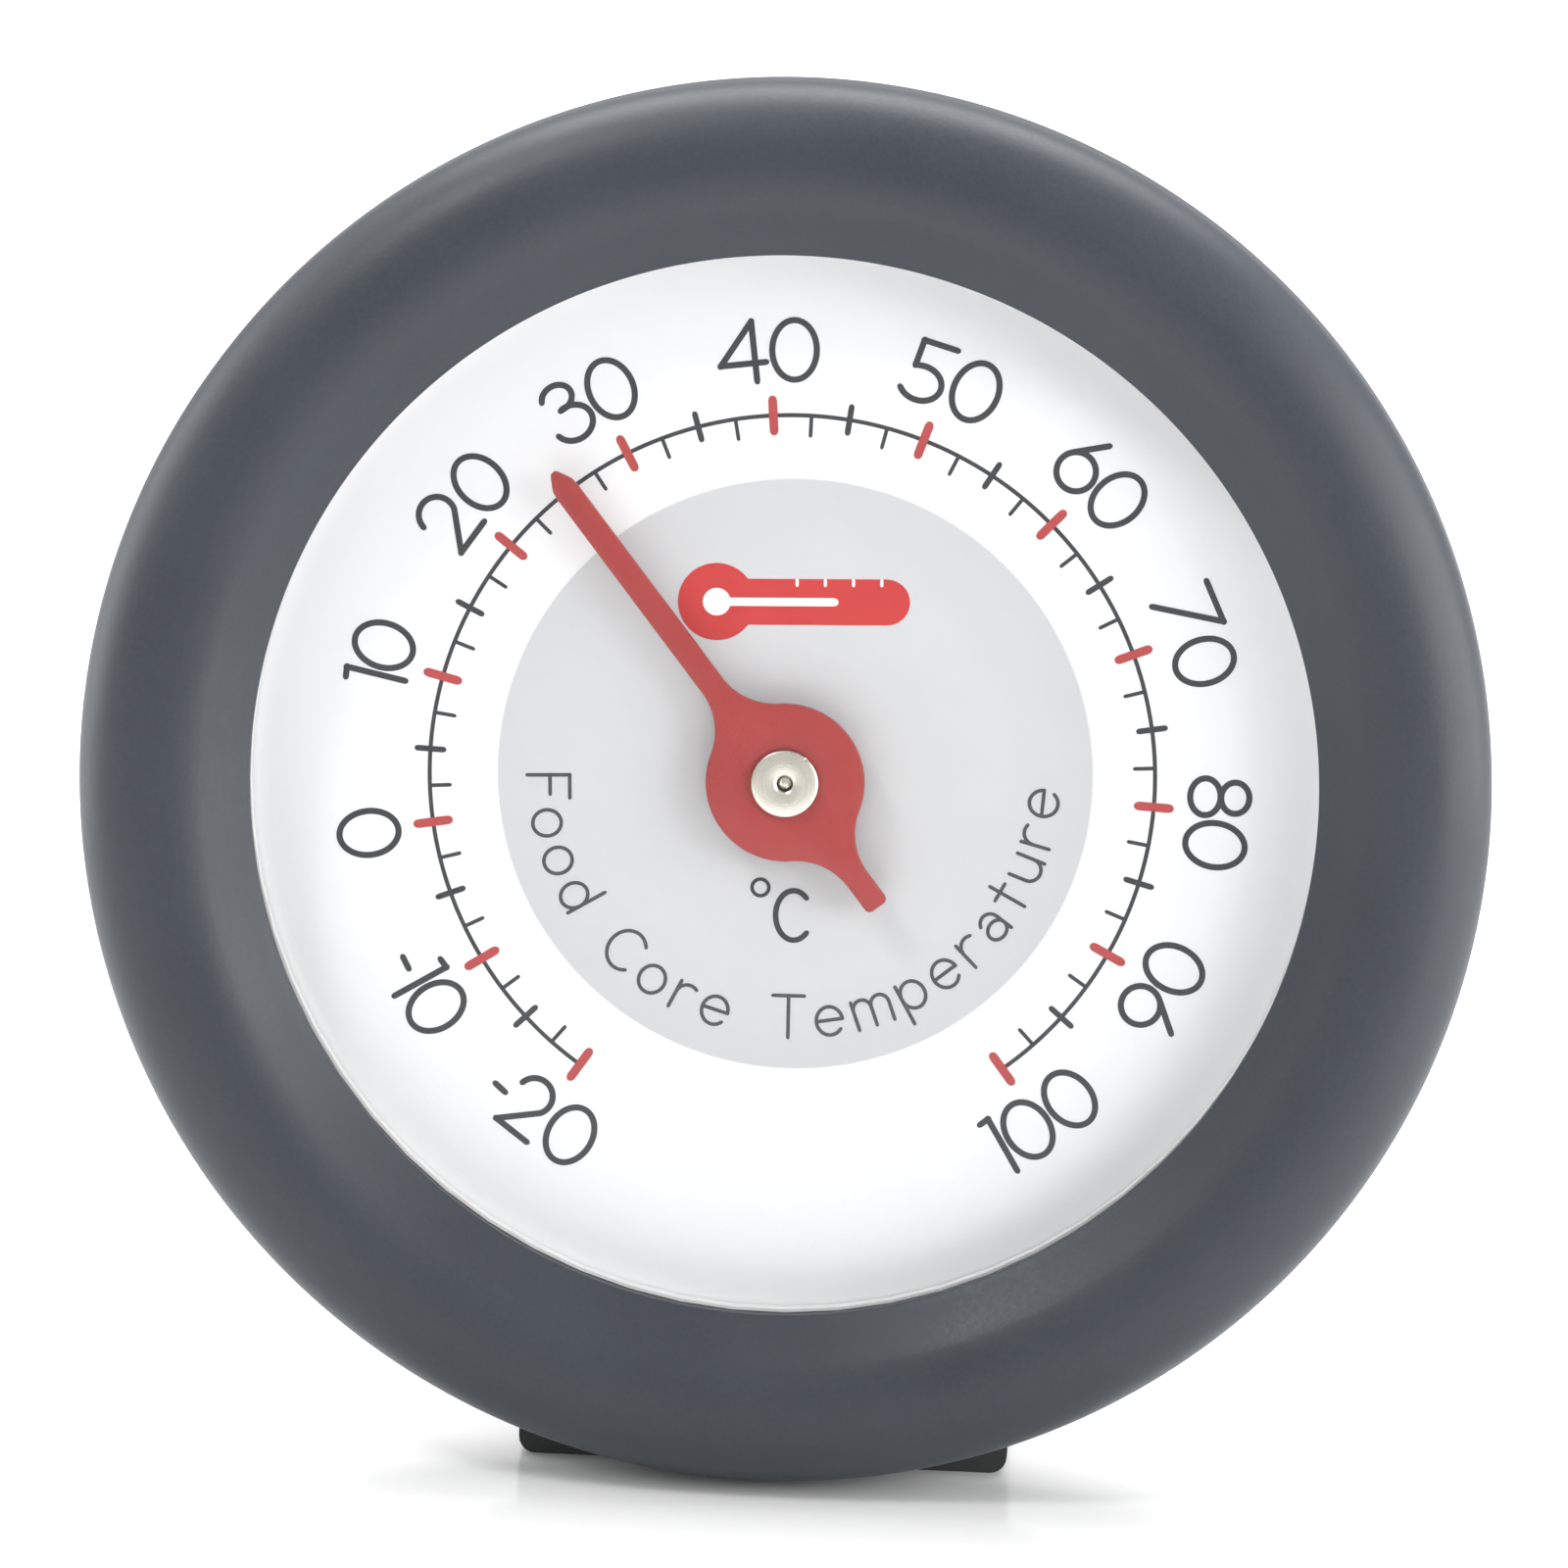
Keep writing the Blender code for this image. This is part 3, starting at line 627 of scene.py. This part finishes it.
# every figure as pen lines, in millimetres about its own middle; True marks a closed loop
figures = {
    "0": [(loopLine((0, 0), (0.79, 1.06)), True)],
    "1": [([(-0.34, 1.02), (0.0, 1.06)], False), ([(0.0, 1.06), (0.0, -1.06)], False)],
    "2": [(arcPoints((0.02, 0.42), (0.65, 0.65), 168, -33) + [(-0.55, -1.06)], False),
          ([(-0.55, -1.06), (0.82, -1.06)], False)],
    "3": [(arcPoints((-0.02, 0.60), (0.56, 0.46), 160, -75) + [(-0.12, 0.15)], False),
          ([(-0.12, 0.15)] + arcPoints((0.03, -0.44), (0.72, 0.62), 96, -165), False)],
    "4": [([(0.62, -0.42), (-0.98, -0.42)], False), ([(-0.98, -0.42), (0.25, 1.06)], False),
          ([(0.25, 1.06), (0.25, -1.06)], False)],
    "5": [([(0.92, 1.06), (-0.30, 1.06)], False), ([(-0.30, 1.06), (-0.34, 0.13)], False),
          ([(-0.34, 0.13)] + arcPoints((0.02, -0.44), (0.76, 0.62), 118, -146), False)],
    "6": [(loopLine((0, -0.36), (0.70, 0.70)), True), ([(-0.555, 0.067), (0.24, 1.10)], False)],
    "7": [([(-0.75, 1.06), (0.80, 1.06)], False), ([(0.80, 1.06), (-0.65, -1.06)], False)],
    "8": [(loopLine((0, -0.52), (0.66, 0.54)), True), (loopLine((0, 0.54), (0.56, 0.50)), True)],
    "9": [(loopLine((0, 0.36), (0.70, 0.70)), True), ([(0.555, -0.067), (-0.24, -1.10)], False)],
    "-": [([(-0.22, -0.15), (0.22, -0.15)], False)],
}


def layLetters(glyphs, text, gap, space=0.0, stroke=0.2):
    # the x of every glyph's own middle along its line, and the whole line's width
    placed = []
    cursor = 0.0
    for letter in text:
        if letter == " ":
            cursor += space
            continue
        across = [x for line, closed in glyphs[letter] for x, z in line]
        left, right = min(across) - stroke / 2, max(across) + stroke / 2
        placed.append((letter, cursor - left))
        cursor += right - left + gap
    return placed, cursor - gap


def bendLetters(glyphs, placed, width, angle, radius, outward, stroke, ring):
    # glyphs stood round a circle, tops outward or tops inward
    strokes = []
    side = 1 if outward else -1
    for letter, across in placed:
        at = math.radians(angle) + side * (across - width / 2) / radius
        outWay = Vector((math.sin(at), math.cos(at)))
        up = outWay * side
        right = Vector((math.cos(at), -math.sin(at))) * side
        base = Vector(ring) + outWay * radius
        for line, closed in glyphs[letter]:
            points = [tuple(base + right * x + up * z) for x, z in line]
            strokes.append(penLine(points, stroke, closed))
    return strokes


# degrees Celsius, under the hub
celsiusSign = {
    "ring": (-0.92, -3.91), "ringRadii": (0.30, 0.30), "ringStroke": 0.15,
    "letter": (0.26, -4.91), "letterRadii": (0.64, 0.89), "letterTurn": (46, 314),
    "letterStroke": 0.23,
}


def printScale():
    size, sign = dialScale, celsiusSign
    first, last = scaleAngle(size["lowest"]), scaleAngle(size["highest"])
    pieces = size["lineSteps"]
    turns = [first + (last - first) * step / pieces for step in range(pieces + 1)]
    dark = [penLine([onScale(turn, size["radius"]) for turn in turns], size["line"])]
    red = []
    for step in range(int((size["highest"] - size["lowest"]) / size["markEvery"]) + 1):
        temperature = size["lowest"] + size["markEvery"] * step
        if temperature % 10 == 0:
            mark, strokes = size["red"], red
        elif temperature % 5 == 0:
            mark, strokes = size["five"], dark
        else:
            mark, strokes = size["half"], dark
        angle = scaleAngle(temperature)
        reach = mark["length"] - mark["width"]
        outer = size["radius"] + mark["shift"] * reach
        ends = [onScale(angle, outer), onScale(angle, outer - reach)]
        strokes.append(penLine(ends, mark["width"]))
    for temperature in range(size["lowest"], size["highest"] + 1, 10):
        outward = size["topsOutward"][0] <= temperature <= size["topsOutward"][1]
        placed, width = layLetters(figures, str(temperature), size["numeralGap"])
        angle = scaleAngle(temperature) + size["moved"].get(temperature, 0.0)
        dark += bendLetters(figures, placed, width, angle, size["numeralRadius"],
                            outward, size["numeralStroke"], size["centre"])
    dark.append(penLine(loopLine(sign["ring"], sign["ringRadii"], 28), sign["ringStroke"], True))
    letter = arcPoints(sign["letter"], sign["letterRadii"], *sign["letterTurn"], 30)
    dark.append(penLine(letter, sign["letterStroke"]))
    printStrokes("scalePrint", dark, darkInk)
    printStrokes("redMarks", red, redInk, "red")


# plain words round the lower half, tops towards the middle
dialWords = {
    "text": "Food Core Temperature", "baseline": 9.45, "from": -90.0, "to": 87.0,
    "stroke": 0.15, "space": 1.25, "centre": (0.25, 0.15),
}
letters = {
    "F": [([(0, 0), (0, 1.5)], False), ([(0, 1.5), (0.82, 1.5)], False),
          ([(0, 0.80), (0.68, 0.80)], False)],
    "o": [(loopLine((0, 0.51), (0.47, 0.51), 28), True)],
    "d": [(loopLine((0, 0.50), (0.44, 0.50), 28), True), ([(0.44, 1.5), (0.44, 0)], False)],
    "C": [(arcPoints((0, 0.75), (0.66, 0.75), 48, 312, 24), False)],
    "r": [([(0, 0), (0, 1.02)], False),
          (arcPoints((0.42, 0.58), (0.42, 0.44), 180, 62, 10), False)],
    "e": [([(-0.46, 0.54), (0.46, 0.54)], False),
          (arcPoints((0, 0.51), (0.47, 0.51), 4, 318, 26), False)],
    "T": [([(-0.55, 1.5), (0.55, 1.5)], False), ([(0, 1.5), (0, 0)], False)],
    "m": [([(-0.66, 0), (-0.66, 1.02)], False),
          (arcPoints((-0.33, 0.68), (0.33, 0.34), 180, 0, 12) + [(0, 0)], False),
          (arcPoints((0.33, 0.68), (0.33, 0.34), 180, 0, 12) + [(0.66, 0)], False)],
    "p": [(loopLine((0, 0.50), (0.44, 0.50), 28), True), ([(-0.44, 1.02), (-0.44, -0.45)], False)],
    "a": [(loopLine((-0.02, 0.33), (0.38, 0.32), 24), True),
          (arcPoints((0, 0.66), (0.36, 0.36), 148, 0, 10) + [(0.36, 0)], False)],
    "t": [([(0, 1.40), (0, 0)], False), ([(-0.34, 1.0), (0.34, 1.0)], False)],
    "u": [([(-0.40, 1.02)] + arcPoints((0, 0.40), (0.40, 0.40), 180, 360, 14), False),
          ([(0.40, 1.02), (0.40, 0)], False)],
}


def printWords():
    size = dialWords
    radius = size["baseline"]
    room = math.radians(size["to"] - size["from"]) * radius
    tight, width = layLetters(letters, size["text"], 0.0, size["space"], size["stroke"])
    gap = (room - width) / (len(tight) - 1)
    placed, width = layLetters(letters, size["text"], gap, size["space"], size["stroke"])
    middle = 180.0 - (size["to"] + size["from"]) / 2
    strokes = bendLetters(letters, placed, width, middle, radius,
                          False, size["stroke"], size["centre"])
    printStrokes("wordPrint", strokes, greyInk)


# a plain thermometer sign lying on its side: a bulb and a tube with a pale column and marks
dialSign = {
    "centre": (0.284, 6.32), "bulb": 1.38, "bulbAt": -2.75, "tubeHalf": 0.82, "tubeEnd": 4.1,
    "thickness": 0.012, "column": (-2.75, 1.4), "columnStroke": 0.34, "eye": 0.28, "eyeStroke": 0.5,
    "marks": (0.1, 1.1, 2.1, 3.1), "markInset": (0.04, 0.22), "markStroke": 0.11,
}


def printSign():
    size = dialSign
    x0, z0 = size["centre"]
    half, bulbAt = size["tubeHalf"], size["bulbAt"]
    join = math.degrees(math.asin(half / size["bulb"]))
    outline = arcPoints((bulbAt, 0), (size["bulb"],) * 2, join, 360 - join, 40)
    outline += arcPoints((size["tubeEnd"] - half, 0), (half, half), -90, 90, 18)
    points = [(x0 + x, inkFront("sign"), z0 + z) for x, z in outline]
    piece = drawSheet("signBody", points, (0, size["thickness"], 0))
    finishPiece(piece, headPlace, "head", signInk, smooth=30)
    pale = [penLine([(x0 + x, z0) for x in size["column"]], size["columnStroke"])]
    eye = loopLine((x0 + bulbAt, z0), (size["eye"],) * 2, 20)
    pale.append(penLine(eye, size["eyeStroke"], True))
    for mark in size["marks"]:
        ends = [(x0 + mark, z0 + half - inset) for inset in size["markInset"]]
        pale.append(penLine(ends, size["markStroke"]))
    printStrokes("signPale", pale, whiteInk, "pale")


# the red pointer: flat, with a round hub and a short square tail
pointerShape = {
    "front": 0.55, "thickness": 0.35, "hub": 2.82, "hubHole": 0.85, "fillet": 2.3, "edge": 0.10,
    "needleHalf": 0.45, "point": [(0.10, 13.75), (0.324, 13.36), (0.4185, 13.15), (0.45, 12.9)],
    "tailHalf": 0.435, "tail": [(0.315, 5.54), (0.435, 5.42)],
}


def filletSide(half):
    hub, fillet = pointerShape["hub"], pointerShape["fillet"]
    reach = math.sqrt((hub + fillet) ** 2 - (half + fillet) ** 2)
    end = math.degrees(math.atan2(reach, half + fillet))
    return arcPoints((half + fillet, reach), (fillet, fillet), 180, 180 + end, 16)


def makePointer():
    size = pointerShape
    up = size["point"] + filletSide(size["needleHalf"])
    down = size["tail"] + filletSide(size["tailHalf"])
    first = math.degrees(math.atan2(up[-1][1], up[-1][0]))
    last = -math.degrees(math.atan2(down[-1][1], down[-1][0]))
    hub = arcPoints((0, 0), (size["hub"],) * 2, first, last, 24)[1:-1]
    right = up + hub + [(x, -z) for x, z in reversed(down)]
    outline = right + [(-x, z) for x, z in reversed(right)]
    points = [(x, size["front"], z) for x, z in outline]
    piece = drawSheet("pointer", points, (0, size["thickness"], 0))
    bore = lathe("pointerDrill", [(0, -1), (size["hubHole"], -1), (size["hubHole"], 2), (0, 2)], 64)
    combine(piece, bore, "DIFFERENCE")
    roundEdges(piece, size["edge"], 2, 35)
    finishPiece(piece, pointerPlace, "movement", pointerPaint,
                ["pointer"], smooth=40)


# the bright bush: a turned flange with a small staking nick, and the shaft's end in its bore
bushShape = {
    "face": [(0.29, 0.34), (0.36, 0.28), (0.45, 0.255), (0.75, 0.25), (0.98, 0.262), (1.10, 0.285)],
    "flange": 1.2, "rimRound": 0.07, "rimMiddle": 0.37,
    "behind": [(1.2, 0.46), (1.17, 0.49), (0.79, 0.49), (0.79, 1.55), (0.29, 1.55)],
    "nickAngle": 77.7, "nick": [(0, 0.05), (0.16, 0.05), (0.08, 0.38), (0, 0.41)], "steps": 96,
}


def makeBush():
    size = bushShape
    flange, rim = size["flange"], size["rimRound"]
    rimArc = arcPoints((flange - rim, size["rimMiddle"]), (rim, rim), -60, 0, 4)
    piece = lathe("pointerBush", size["face"] + rimArc + size["behind"], size["steps"])
    turn = math.radians(size["nickAngle"])
    tool = lathe("nickTool", size["nick"], 24)
    tool.location = (flange * math.sin(turn), 0, flange * math.cos(turn))
    combine(piece, tool, "DIFFERENCE")
    finishPiece(piece, pointerPlace, "movement", bushNickel,
                ["pointer_bush"], smooth=28)


# plain turned parts, each as the (radius, y) outline that the lathe follows
shaftShape = {
    "section": [(0, 0.50), (0.108, 0.51), (0.192, 0.55), (0.24, 0.62), (0.24, 1.62), (0.4, 1.70),
                (0.4, 83.9), (0.3, 84.0), (0, 84.0)],
    "steps": 32,
}
ferruleShape = {
    "section": [(0.7, 3.6), (4.85, 3.6), (5.0, 3.75), (5.0, 4.6), (2.5, 4.6), (2.5, 12.55),
                (2.3, 12.8), (1.96, 12.8), (1.96, 5.4), (0.7, 5.4)],
    "steps": 96,
}


def makeShaft():
    piece = lathe("pointerShaft", shaftShape["section"], shaftShape["steps"])
    finishPiece(piece, pointerPlace, "movement", bushNickel, ["pointer_shaft"])


def makeFerrule():
    piece = lathe("stemFerrule", ferruleShape["section"], ferruleShape["steps"])
    finishPiece(piece, sheathPlace, "probe", turnedBrass, ["stem_ferrule"])


# the wave washer under the hexagon
washerShape = {
    "inner": 2.65, "outer": 4.3, "front": 5.32, "back": 5.52, "edge": 0.03,
    "swing": 0.12, "waves": 3, "steps": 96,
}


def makeWasher():
    size = washerShape
    inner, outer, edge = size["inner"], size["outer"], size["edge"]
    front, back = size["front"], size["back"]
    section = [(inner, front + edge), (inner + edge, front), (outer - edge, front)]
    section += [(outer, front + edge), (outer, back - edge), (outer - edge, back)]
    section += [(inner + edge, back), (inner, back - edge)]
    piece = lathe("waveWasher", section, size["steps"])
    for corner in piece.data.vertices:
        turn = math.atan2(corner.co.z, corner.co.x)
        corner.co.y += size["swing"] * math.sin(size["waves"] * turn)
    finishPiece(piece, sheathPlace, "probe", springSteel, ["friction_washer"])


# the hexagon that is held while the head is turned
nutShape = {
    "flats": 9.0, "front": 5.85, "back": 11.2, "hole": 2.56, "edge": 0.06,
    "cornerCut": 0.1, "chamfer": 0.35, "chamferReach": 2.05, "spare": 1.0,
}


def makeNut():
    size = nutShape
    corner = size["flats"] / math.sqrt(3)
    front, back, hole, chamfer = size["front"], size["back"], size["hole"], size["chamfer"]
    points = [(x, front, z) for x, z in polygonPoints(corner, 6)]
    piece = drawSheet("adjustingNut", points, (0, back - front, 0))
    turned = corner - size["cornerCut"]
    narrow = turned - size["chamferReach"]
    before, after = front - size["spare"], back + size["spare"]
    section = [(hole, before), (narrow, before), (turned, front + chamfer)]
    section += [(turned, back - chamfer), (narrow, after), (hole, after)]
    combine(piece, lathe("nutBlank", section, 96), "INTERSECT")
    roundEdges(piece, size["edge"], 2, 30)
    finishPiece(piece, sheathPlace, "probe", nutSteel, ["calibration_nut"], smooth=25)


# the stem: a thin drawn tube and the tip that closes it
stemShape = {
    "tube": [(1.6, 5.5), (1.9, 5.5), (1.9, 127.4), (1.6, 127.4)],
    "tip": [(0, 125.4), (1.54, 125.4), (1.54, 127.46), (1.9, 127.46), (1.9, 128.2), (1.86, 128.35),
            (1.14, 130.2)],
    "noseMiddle": (0.4, 130.3), "noseRound": 0.7, "nose": 131.0, "steps": 64,
}


def makeStem():
    size = stemShape
    piece = lathe("stemTube", size["tube"], size["steps"])
    finishPiece(piece, sheathPlace, "probe", stemSteel, ["stem_tube"])
    nose = arcPoints(size["noseMiddle"], (size["noseRound"],) * 2, 0, 90, 8) + [(0, size["nose"])]
    piece = lathe("stemTip", size["tip"] + nose, size["steps"])
    finishPiece(piece, sheathPlace, "probe", stemSteel, ["stem_tip"], smooth=40)


# the sheath's foot: a plate behind the head, toes under the rim, a boss for the sleeve and a rib
footShape = {
    "half": 8.75, "plateFront": 5.7, "plateBack": 8.4, "plateTop": 9.0, "topRound": 4.0,
    "toeFront": 2.7, "toeTop": -22.6, "toeSlope": (0.8, 1.6), "toeGapHalf": 4.6, "toeGapBack": 3.4,
    "footBack": 13.0, "footTop": -21.8, "footSlope": (0.8, 1.2), "deep": -30.0, "bottomRound": 0.6,
    "boss": [(7.4, 9.5), (6.3, 19.4), (5.8, 20.0)],
    "ribHalf": 1.0, "ribTop": (16.0, -5.0), "ribEnd": (12.2, -22.3),
    "socketFlats": 9.5, "socketBack": 11.6, "through": 2.9, "seat": 4.81, "seatFront": 14.14,
    "edge": 0.22, "rimGap": 0.3, "roomInner": 15.0, "spare": 1.0,
}


def cutAtTable(piece):
    # clear away what would reach below the table, and close the cut
    down = (sheathPlace.to_3x3().transposed() @ Vector((0, 0, -1))).normalized()
    bpy.ops.object.select_all(action="DESELECT")
    bpy.context.view_layer.objects.active = piece
    piece.select_set(True)
    bpy.ops.object.mode_set(mode="EDIT")
    bpy.ops.mesh.select_all(action="SELECT")
    bpy.ops.mesh.bisect(plane_co=down * (axisPoint.z / millimetre), plane_no=down,
                        use_fill=True, clear_outer=True)
    tidyMesh()
    bpy.ops.object.mode_set(mode="OBJECT")


def selectEdges(piece, test):
    # picks only the edges whose two ends pass the test, and leaves edit mode on
    bpy.ops.object.mode_set(mode="EDIT")
    bpy.ops.mesh.select_mode(type="EDGE")
    bpy.ops.mesh.select_all(action="DESELECT")
    bpy.ops.object.mode_set(mode="OBJECT")
    for edge in piece.data.edges:
        first, second = (piece.data.vertices[index].co for index in edge.vertices)
        edge.select = test(first, second)
    bpy.ops.object.mode_set(mode="EDIT")


def makeFoot():
    size = footShape
    half, plateFront, plateBack = size["half"], size["plateFront"], size["plateBack"]
    toeTop, footTop, deep = size["toeTop"], size["footTop"], size["deep"]
    side = [(plateFront, size["plateTop"]), (plateFront, toeTop + size["toeSlope"][1])]
    side += [(plateFront - size["toeSlope"][0], toeTop), (size["toeFront"], toeTop)]
    side += [(size["toeFront"], deep), (size["footBack"], deep), (size["footBack"], footTop)]
    side += [(plateBack + size["footSlope"][0], footTop)]
    side += [(plateBack, footTop + size["footSlope"][1]), (plateBack, size["plateTop"])]
    piece = drawSheet("sheathFoot", [(-half, y, z) for y, z in side], (2 * half, 0, 0))
    cutAtTable(piece)

    nearly = 0.001

    def onSide(first, second):
        return abs(first.x - second.x) < nearly and abs(abs(first.x) - half) < nearly

    selectEdges(piece, lambda a, b: onSide(a, b) and min(a.z, b.z) > size["plateTop"] - nearly)
    bpy.ops.mesh.bevel(offset=size["topRound"], segments=12, profile=0.5)
    selectEdges(piece, lambda a, b: onSide(a, b) and max(a.z, b.z) < toeTop - nearly)
    bpy.ops.mesh.bevel(offset=size["bottomRound"], segments=5, profile=0.5)
    bpy.ops.mesh.select_mode(type="VERT")
    tidyMesh()
    bpy.ops.object.mode_set(mode="OBJECT")

    # room for the grip ring to turn, and a gap between the two toes
    gap, ring, roomInner = size["rimGap"], gripRing, size["roomInner"]
    outer, coneBack = ring["outside"] + gap, ring["coneBack"] + gap
    heelRadii = (outer - ring["heel"], ring["heelDepth"] + gap)
    room = [(roomInner, 0), (outer, 0), (outer, ring["band"])]
    room += arcPoints((ring["heel"], ring["band"]), heelRadii, 0, 90, 12)[1:]
    room += [(ring["cone"] + gap, coneBack), (roomInner, coneBack)]
    combine(piece, lathe("roomTool", room, 144), "DIFFERENCE")
    gapHalf, gapBack = size["toeGapHalf"], size["toeGapBack"]
    gapSide = ((0, footTop), (gapBack, footTop), (gapBack, deep), (0, deep))
    toeGap = drawSheet("gapTool", [(-gapHalf, y, z) for y, z in gapSide], (2 * gapHalf, 0, 0))
    combine(piece, toeGap, "DIFFERENCE")

    middle, bossBack = (plateFront + plateBack) / 2, size["boss"][-1][1]
    boss = [(0, middle), (size["boss"][0][0], middle), *size["boss"], (0, bossBack)]
    combine(piece, lathe("bossTool", boss, 96), "UNION")
    (topBack, topHeight), (endBack, endHeight) = size["ribTop"], size["ribEnd"]
    ribSide = [(middle, topHeight), (topBack, topHeight), (endBack, endHeight), (middle, endHeight)]
    ribHalf = size["ribHalf"]
    rib = drawSheet("ribTool", [(-ribHalf, y, z) for y, z in ribSide], (2 * ribHalf, 0, 0))
    combine(piece, rib, "UNION")
    before, after = plateFront - size["spare"], bossBack + size["spare"]
    hexagon = [(x, before, z) for x, z in polygonPoints(size["socketFlats"] / math.sqrt(3), 6)]
    socket = drawSheet("socketTool", hexagon, (0, size["socketBack"] - before, 0))
    combine(piece, socket, "DIFFERENCE")
    bore = [(0, before), (size["through"], before), (size["through"], size["seatFront"])]
    bore += [(size["seat"], size["seatFront"]), (size["seat"], after), (0, after)]
    combine(piece, lathe("boreTool", bore, 96), "DIFFERENCE")
    roundEdges(piece, size["edge"], 3, 32)
    finishPiece(piece, sheathPlace, "sheath", sheathPlastic,
                ["sheath_foot"], smooth=35)


# the sheath's sleeve: a tube with a round tail, a drain hole and a flat to rest on
sleeveShape = {
    "mouth": [(2.4, 14.2), (4.55, 14.2), (4.75, 14.4)],
    "tailMiddle": (3.15, 147.4), "tailRound": 1.6,
    "bore": [(1.05, 149.0), (0.9, 148.85), (0.9, 138.0), (2.4, 138.0)], "steps": 96,
}


def makeSleeve():
    size = sleeveShape
    tail = arcPoints(size["tailMiddle"], (size["tailRound"],) * 2, 0, 90, 12)
    piece = lathe("sheathSleeve", size["mouth"] + tail + size["bore"], size["steps"])
    cutAtTable(piece)
    finishPiece(piece, sheathPlace, "sheath", sheathPlastic,
                ["sheath_sleeve"], smooth=35)


makePieces = (
    makeGripRing, makeCaseCup, makeLens, makeDial, printScale, printWords, printSign, makePointer,
    makeBush, makeShaft, makeFerrule, makeWasher, makeNut, makeStem, makeFoot, makeSleeve,
)
for makePiece in makePieces:
    makePiece()
print("pieces made")

# the parts inside, which keep their own meshes
innerFinishes = {
    "lens_snap_ring": springSteel, "lens_gasket": sealRubber, "dial_spacer": spacerPlastic,
    "dial_seat_ring": spacerPlastic, "coil_collar": turnedBrass, "bimetal_coil": springSteel,
    "coil_anchor": turnedBrass, "upper_guide": turnedBrass, "lower_guide": turnedBrass,
}
for nodeName, finish in innerFinishes.items():
    node = frame["nodes"][nodeName]
    node.data.materials.clear()
    node.data.materials.append(finish)

# the floor, the lights and the camera
studio = {
    "floor": (0.84, 0.84, 0.84), "floorSize": 6.0, "floorDrift": 3.0, "floorShade": 0.99,
    "floorRoughness": 0.12, "sky": 0.79, "distance": 0.48, "elevation": 16.4, "azimuth": 2.3,
    "across": 55.48, "aim": (-0.023, 0.001), "ringDepth": 0.35, "sensor": 36.0, "clipStart": 0.01,
}

bpy.ops.object.select_all(action="DESELECT")
bpy.ops.mesh.primitive_plane_add(size=studio["floorSize"], location=(0, 0, 0))
floor = bpy.context.object
floor.name = "floor"
floorPaint = bpy.data.materials.new("floorPaint")
floorPaint.use_nodes = True
floorTree = floorPaint.node_tree
floorShader = floorTree.nodes["Principled BSDF"]
floorCoordinates = addNode(floorTree, "ShaderNodeTexCoord")
floorDrift = noise(floorTree, floorCoordinates.outputs["Object"], studio["floorDrift"])
floorDarker = tuple(studio["floorShade"] * channel for channel in studio["floor"])
floorColour = mixColours(floorTree, floorDrift, floorDarker, studio["floor"])
floorTree.links.new(floorColour, floorShader.inputs["Base Color"])
floorShader.inputs["Roughness"].default_value = studio["floorRoughness"]
floor.data.materials.append(floorPaint)

bpy.context.scene.view_settings.view_transform = "Standard"
world = bpy.data.worlds.new("studioWorld")
bpy.context.scene.world = world
world.use_nodes = True
sky = world.node_tree.nodes["Background"]
sky.inputs["Color"].default_value = (1.0, 1.0, 1.0, 1.0)
sky.inputs["Strength"].default_value = studio["sky"]

# each lamp: where it stands, how big it is, how bright; all look at the head
lamps = {
    "topPanel": {"at": (0.0, 0.22, 0.66), "size": (0.9, 0.45), "power": 9.3},
    "leftPanel": {"at": (-0.66, 0.08, 0.16), "size": (0.5, 0.5), "power": 3.1},
    "rightPanel": {"at": (0.66, -0.22, 0.16), "size": (0.9, 0.5), "power": 7.6},
    "upperSpot": {"at": (-0.34, -0.30, 0.58), "size": (0.14, 0.14), "power": 1.6},
}
for lampName, lamp in lamps.items():
    bpy.ops.object.select_all(action="DESELECT")
    bpy.ops.object.light_add(type="AREA", location=lamp["at"])
    panel = bpy.context.object
    panel.name = lampName
    panel.data.shape = "RECTANGLE"
    panel.data.size, panel.data.size_y = lamp["size"]
    panel.data.energy = lamp["power"]
    panel.rotation_euler = (axisPoint - Vector(lamp["at"])).to_track_quat("-Z", "Y").to_euler()

# the camera stands a little above and to the right of the dial's own axis, rolled so that the
# dial is upright
height, around = math.radians(studio["elevation"]), math.radians(studio["azimuth"])
flatWay = math.cos(height)
backWay = Vector((math.sin(around) * flatWay, -math.cos(around) * flatWay, math.sin(height)))
dialUp = headPlace.to_3x3() @ Vector((0, 0, 1))
rightWay = dialUp.cross(backWay).normalized()
upWay = backWay.cross(rightWay)
aimed = headPlace @ Vector((0, studio["ringDepth"] * millimetre, 0))
aimed += (rightWay * studio["aim"][0] + upWay * studio["aim"][1]) * millimetre
bpy.ops.object.camera_add()
camera = bpy.context.object
camera.name = "camera"
turning = Matrix((rightWay, upWay, backWay)).transposed().to_4x4()
camera.matrix_world = Matrix.Translation(aimed + backWay * studio["distance"]) @ turning
camera.data.sensor_width = studio["sensor"]
camera.data.lens = studio["sensor"] * studio["distance"] / (studio["across"] * millimetre)
camera.data.clip_start = studio["clipStart"]
bpy.context.scene.camera = camera
print("studio set")
